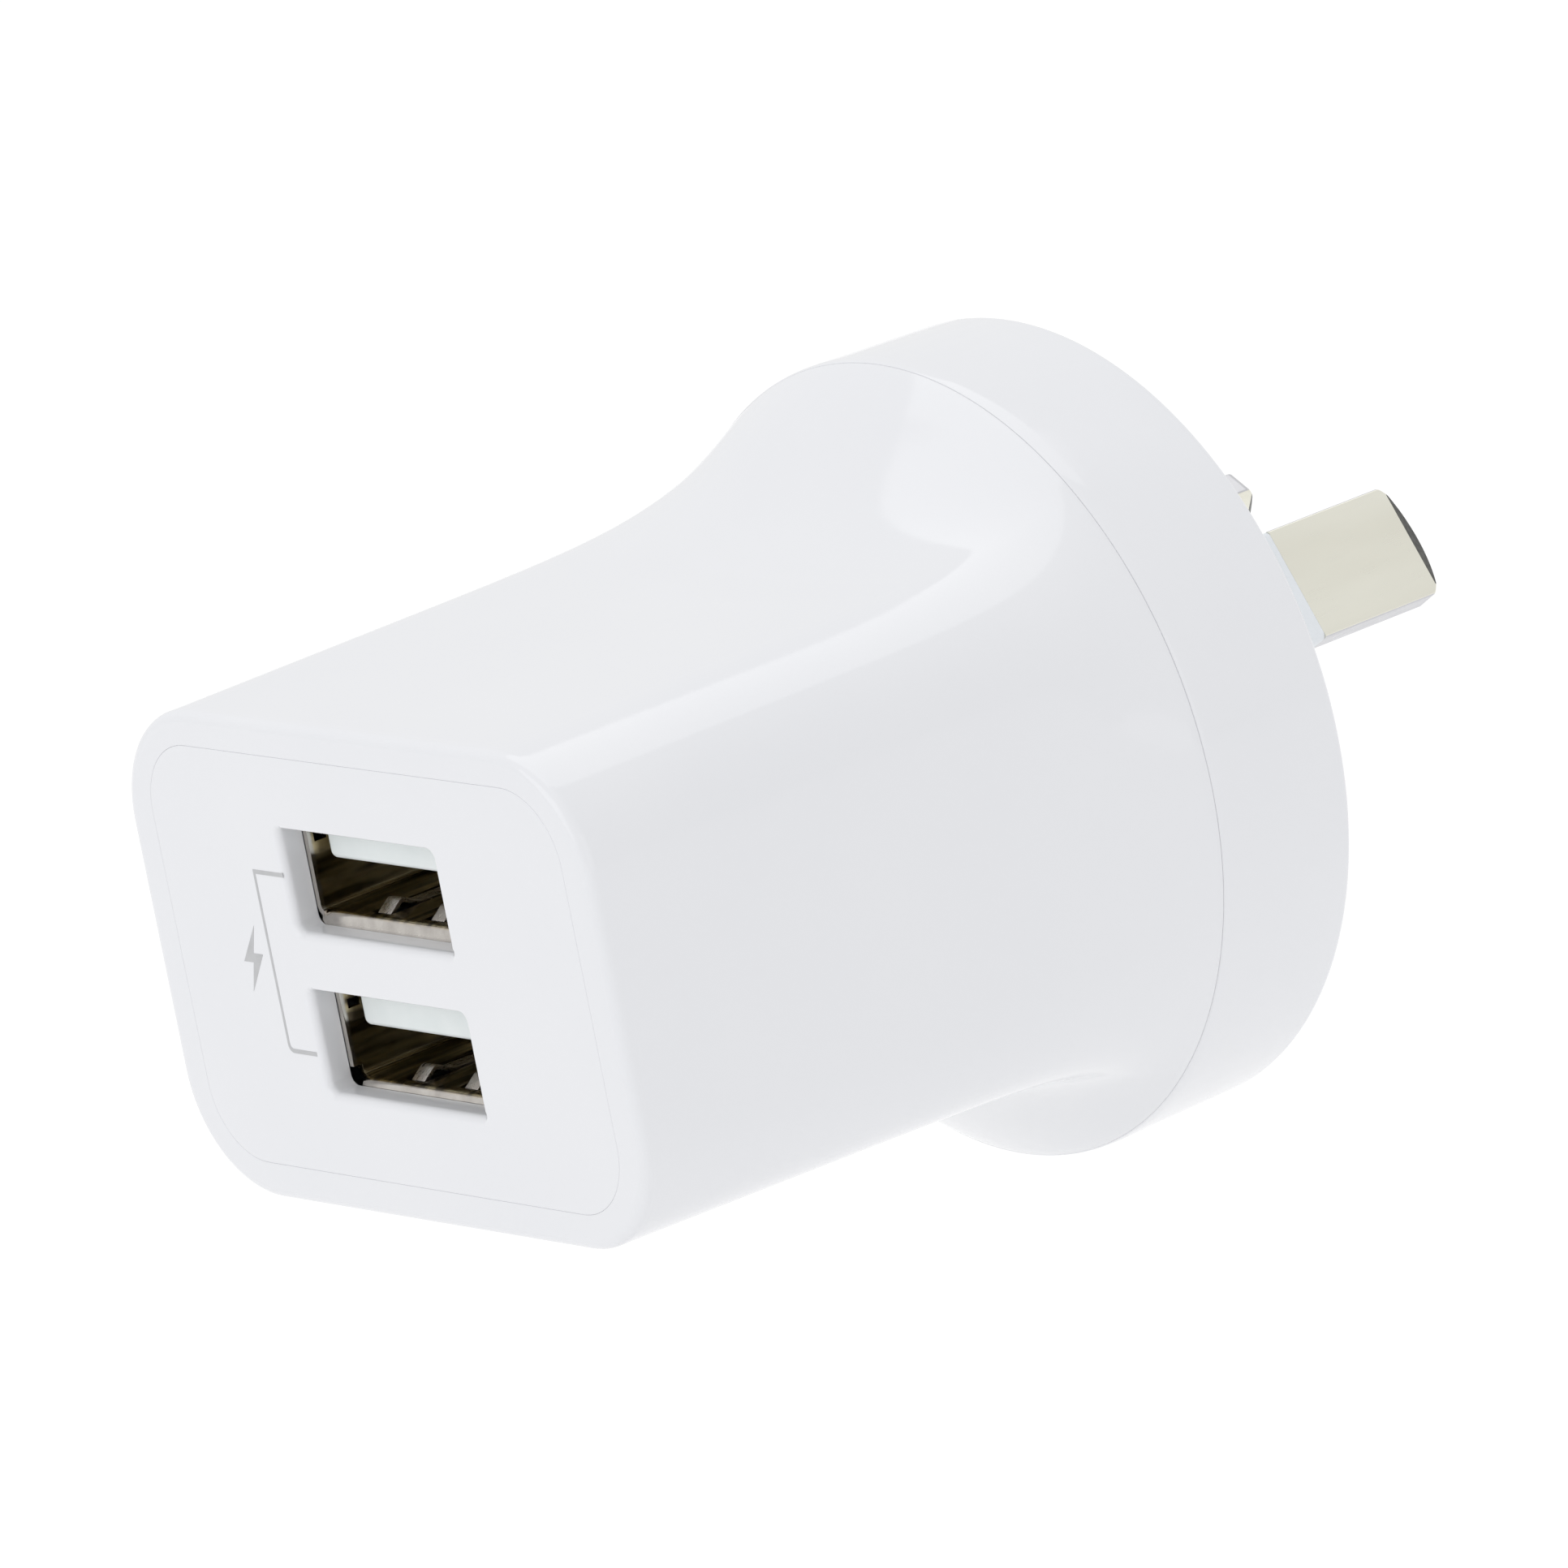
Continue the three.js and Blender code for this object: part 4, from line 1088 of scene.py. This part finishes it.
# Inside the case: (two tones, roughness range, metallic, patch scale, relief) for each slot.
INNER = {
    "board": ((0.02, 0.11, 0.04), (0.035, 0.15, 0.06), (0.3, 0.45), 0.0, 500, 5e-6),
    "ferrite": ((0.02, 0.02, 0.023), (0.05, 0.05, 0.055), (0.55, 0.75), 0.0, 900, 2e-5),
    "bobbin_plastic": ((0.012, 0.012, 0.012), (0.03, 0.03, 0.03), (0.35, 0.5), 0.0, 400, 5e-6),
    "winding_tape": ((0.62, 0.38, 0.03), (0.72, 0.48, 0.06), (0.25, 0.4), 0.0, 300, 1.5e-5),
    "capacitor_can": ((0.01, 0.016, 0.04), (0.02, 0.03, 0.07), (0.25, 0.4), 0.0, 400, 8e-6),
    "chip_epoxy": ((0.01, 0.01, 0.01), (0.025, 0.025, 0.025), (0.55, 0.7), 0.0, 800, 1e-5),
    "resistor_coat": ((0.1, 0.2, 0.16), (0.16, 0.28, 0.23), (0.5, 0.65), 0.0, 900, 2e-5),
    "disc_ceramic": ((0.01, 0.06, 0.25), (0.03, 0.1, 0.34), (0.25, 0.4), 0.0, 700, 1.5e-5),
    "barrier_film": ((0.7, 0.63, 0.4), (0.78, 0.72, 0.5), (0.2, 0.35), 0.0, 200, 8e-6),
}


def dress_inner_nodes():
    """Gives each CAD node that stays, all of them inside the case, the material of its slot."""
    record = frame["record"]
    made = {"spring_metal": SPRING_METAL}
    for slot, (first, second, roughness, metallic, patch, relief) in INNER.items():
        made[slot] = make_material(slot, first, second, roughness, metallic, patch=patch, relief=relief)
    for entry in record["subparts"]:
        obj = frame["nodes"][entry["node"]]
        if obj.hide_render:
            continue
        obj.data.materials.clear()
        obj.data.materials.append(made[entry["material_slot"]])


# ---------------------------------------------------------------- putting it together

finish_piece(build_housing(), "housing_body", ROOT, ["main_housing"], WHITE)
finish_piece(build_panel(), "face_panel", ROOT, ["front_panel"], WHITE)
finish_piece(build_cover(), "round_cover", ROOT, ["rear_cover"], WHITE)
TAPER = (BLADE_TIP - BLADE["taper_from"], (BLADE["thickness"] - BLADE["tip_thickness"]) / 2, 0)
BEVEL_REACH, SIDE_REACH = 0.1, 0.8  # how far a face's normal may lie from the direction wanted
for pin in PINS:
    name = pin["name"]
    on_bevel, on_side = facing(pin, TAPER, BEVEL_REACH), facing(pin, (0, 0, 1), SIDE_REACH)
    # Each pin's tip bevel is painted near-black as a dark reflection; its narrow sides take the cut
    # metal's own duller colour.
    cut_metal_and_painted_reflection = ((PIN_TIP_PAINTED_REFLECTION, on_bevel), (CUT_METAL, on_side))
    blade, sleeve = build_blade(pin), build_sleeve(pin)
    finish_piece(blade, name + "_pin", ROOT, [name + "_blade"], BLADE_METAL, 30, cut_metal_and_painted_reflection)
    nodes = [name + "_sleeve"]
    finish_piece(sleeve, name + "_insulation", ROOT, nodes, SLEEVE_PLASTIC)
for port in PORTS:
    name = port["name"]
    nodes = [name + "_port_shell"]
    finish_piece(build_shell(port), name + "_shell", ROOT, nodes, SHELL_METAL_AND_PAINTED_SHADE)
    nodes = [name + "_port_tongue"]
    finish_piece(build_tongue(port), name + "_tongue", ROOT, nodes, TONGUE_PLASTIC)
    for side, x in (("left", -SPRING["x"]), ("right", SPRING["x"])):
        piece, nodes = f"{name}_leaf_{side}", [f"{name}_spring_{side}"]
        leaf = build_spring(port, x)
        finish_piece(leaf, piece, name + "_springs", nodes, SPRING_METAL)
    for signal, x in CONTACTS.items():
        piece, nodes = f"{name}_strip_{signal}", [f"{name}_contact_{signal}"]
        strip = build_contact(port, x)
        finish_piece(strip, piece, name + "_contacts", nodes, CONTACT_METAL)
film(bracket_outline(), "printed_bracket")
film(bolt_outline(), "printed_bolt")
dress_inner_nodes()


# ---------------------------------------------------------------- stage, light and camera

def camera_matrix(azimuth, elevation, roll, target, distance):
    """A camera's place in metres, from angles in degrees and a target and distance in millimetres.

    Azimuth is 0 in front of the USB face and 90 on the +X side.
    """
    az, el, turn = (math.radians(a) for a in (azimuth, elevation, roll))
    back = Vector((math.sin(az) * math.cos(el), -math.cos(az) * math.cos(el), math.sin(el)))
    right = Vector((math.cos(az), math.sin(az), 0))
    up = back.cross(right)
    x_axis = math.cos(turn) * right + math.sin(turn) * up
    y_axis = math.cos(turn) * up - math.sin(turn) * right
    matrix = Matrix((x_axis, y_axis, back)).transposed().to_4x4()
    matrix.translation = (Vector(target) + back * distance) * MM
    return matrix


def add_light(name, place, facing, size, radiance):
    """A rectangular softbox in metres, given by its radiance. It shines the opposite way to facing."""
    light = bpy.data.lights.new(name, "AREA")
    light.shape = "RECTANGLE"
    light.size, light.size_y = size
    light.energy = radiance * math.pi * size[0] * size[1]
    obj = bpy.data.objects.new(name, light)
    bpy.context.scene.collection.objects.link(obj)
    obj.location = place
    obj.rotation_euler = Vector(facing).to_track_quat("Z", "Y").to_euler()
    return obj


scene = bpy.context.scene
scene.view_settings.view_transform = "Standard"

CAMERA = {
    "azimuth": 53.439,
    "elevation": 14.368,
    "roll": -11.036,
    "target": (-9.08, -12.72, -0.86),
    "distance": 837.5,
}
camera_data = bpy.data.cameras.new("camera")
camera_data.lens = 372.07
camera_data.sensor_width = 36.0
camera_data.clip_start = 0.01
camera_data.clip_end = 20.0
camera = bpy.data.objects.new("camera", camera_data)
scene.collection.objects.link(camera)
camera.matrix_world = camera_matrix(**CAMERA)
scene.camera = camera

world = bpy.data.worlds.new("studio")
world.use_nodes = True
background = world.node_tree.nodes["Background"]
background.inputs["Color"].default_value = (1, 1, 1, 1)
background.inputs["Strength"].default_value = 0.87
scene.world = world

add_light("front_box", (-0.22, -1.11, 0.39), (-0.2, -1.0, 0.35), (0.9, 0.7), 1.0)
add_light("ceiling_box", (-0.3, 0.23, 1.2), (0, 0, 1), (1.2, 1.4), 0.78)
add_light("side_box", (1.2, -0.1, 0.2), (1, -0.1, 0.17), (1.0, 0.8), 0.45)

# The floor, in metres.
FLOOR_Z, FLOOR_HALF = -0.06, 4.0
FLOOR_PAPER = make_material(
    "floor_paper",
    (0.95, 0.95, 0.95),
    (0.965, 0.965, 0.965),
    (0.7, 0.8),
    patch=8,
    grain=900,
    relief=1e-5,
)
floor_mesh = bpy.data.meshes.new("floor")
corners = [(-1, -1), (1, -1), (1, 1), (-1, 1)]
places = [(x * FLOOR_HALF, y * FLOOR_HALF, FLOOR_Z) for x, y in corners]
floor_mesh.from_pydata(places, [], [(0, 1, 2, 3)])
floor_mesh.materials.append(FLOOR_PAPER)
floor = bpy.data.objects.new("floor", floor_mesh)
scene.collection.objects.link(floor)
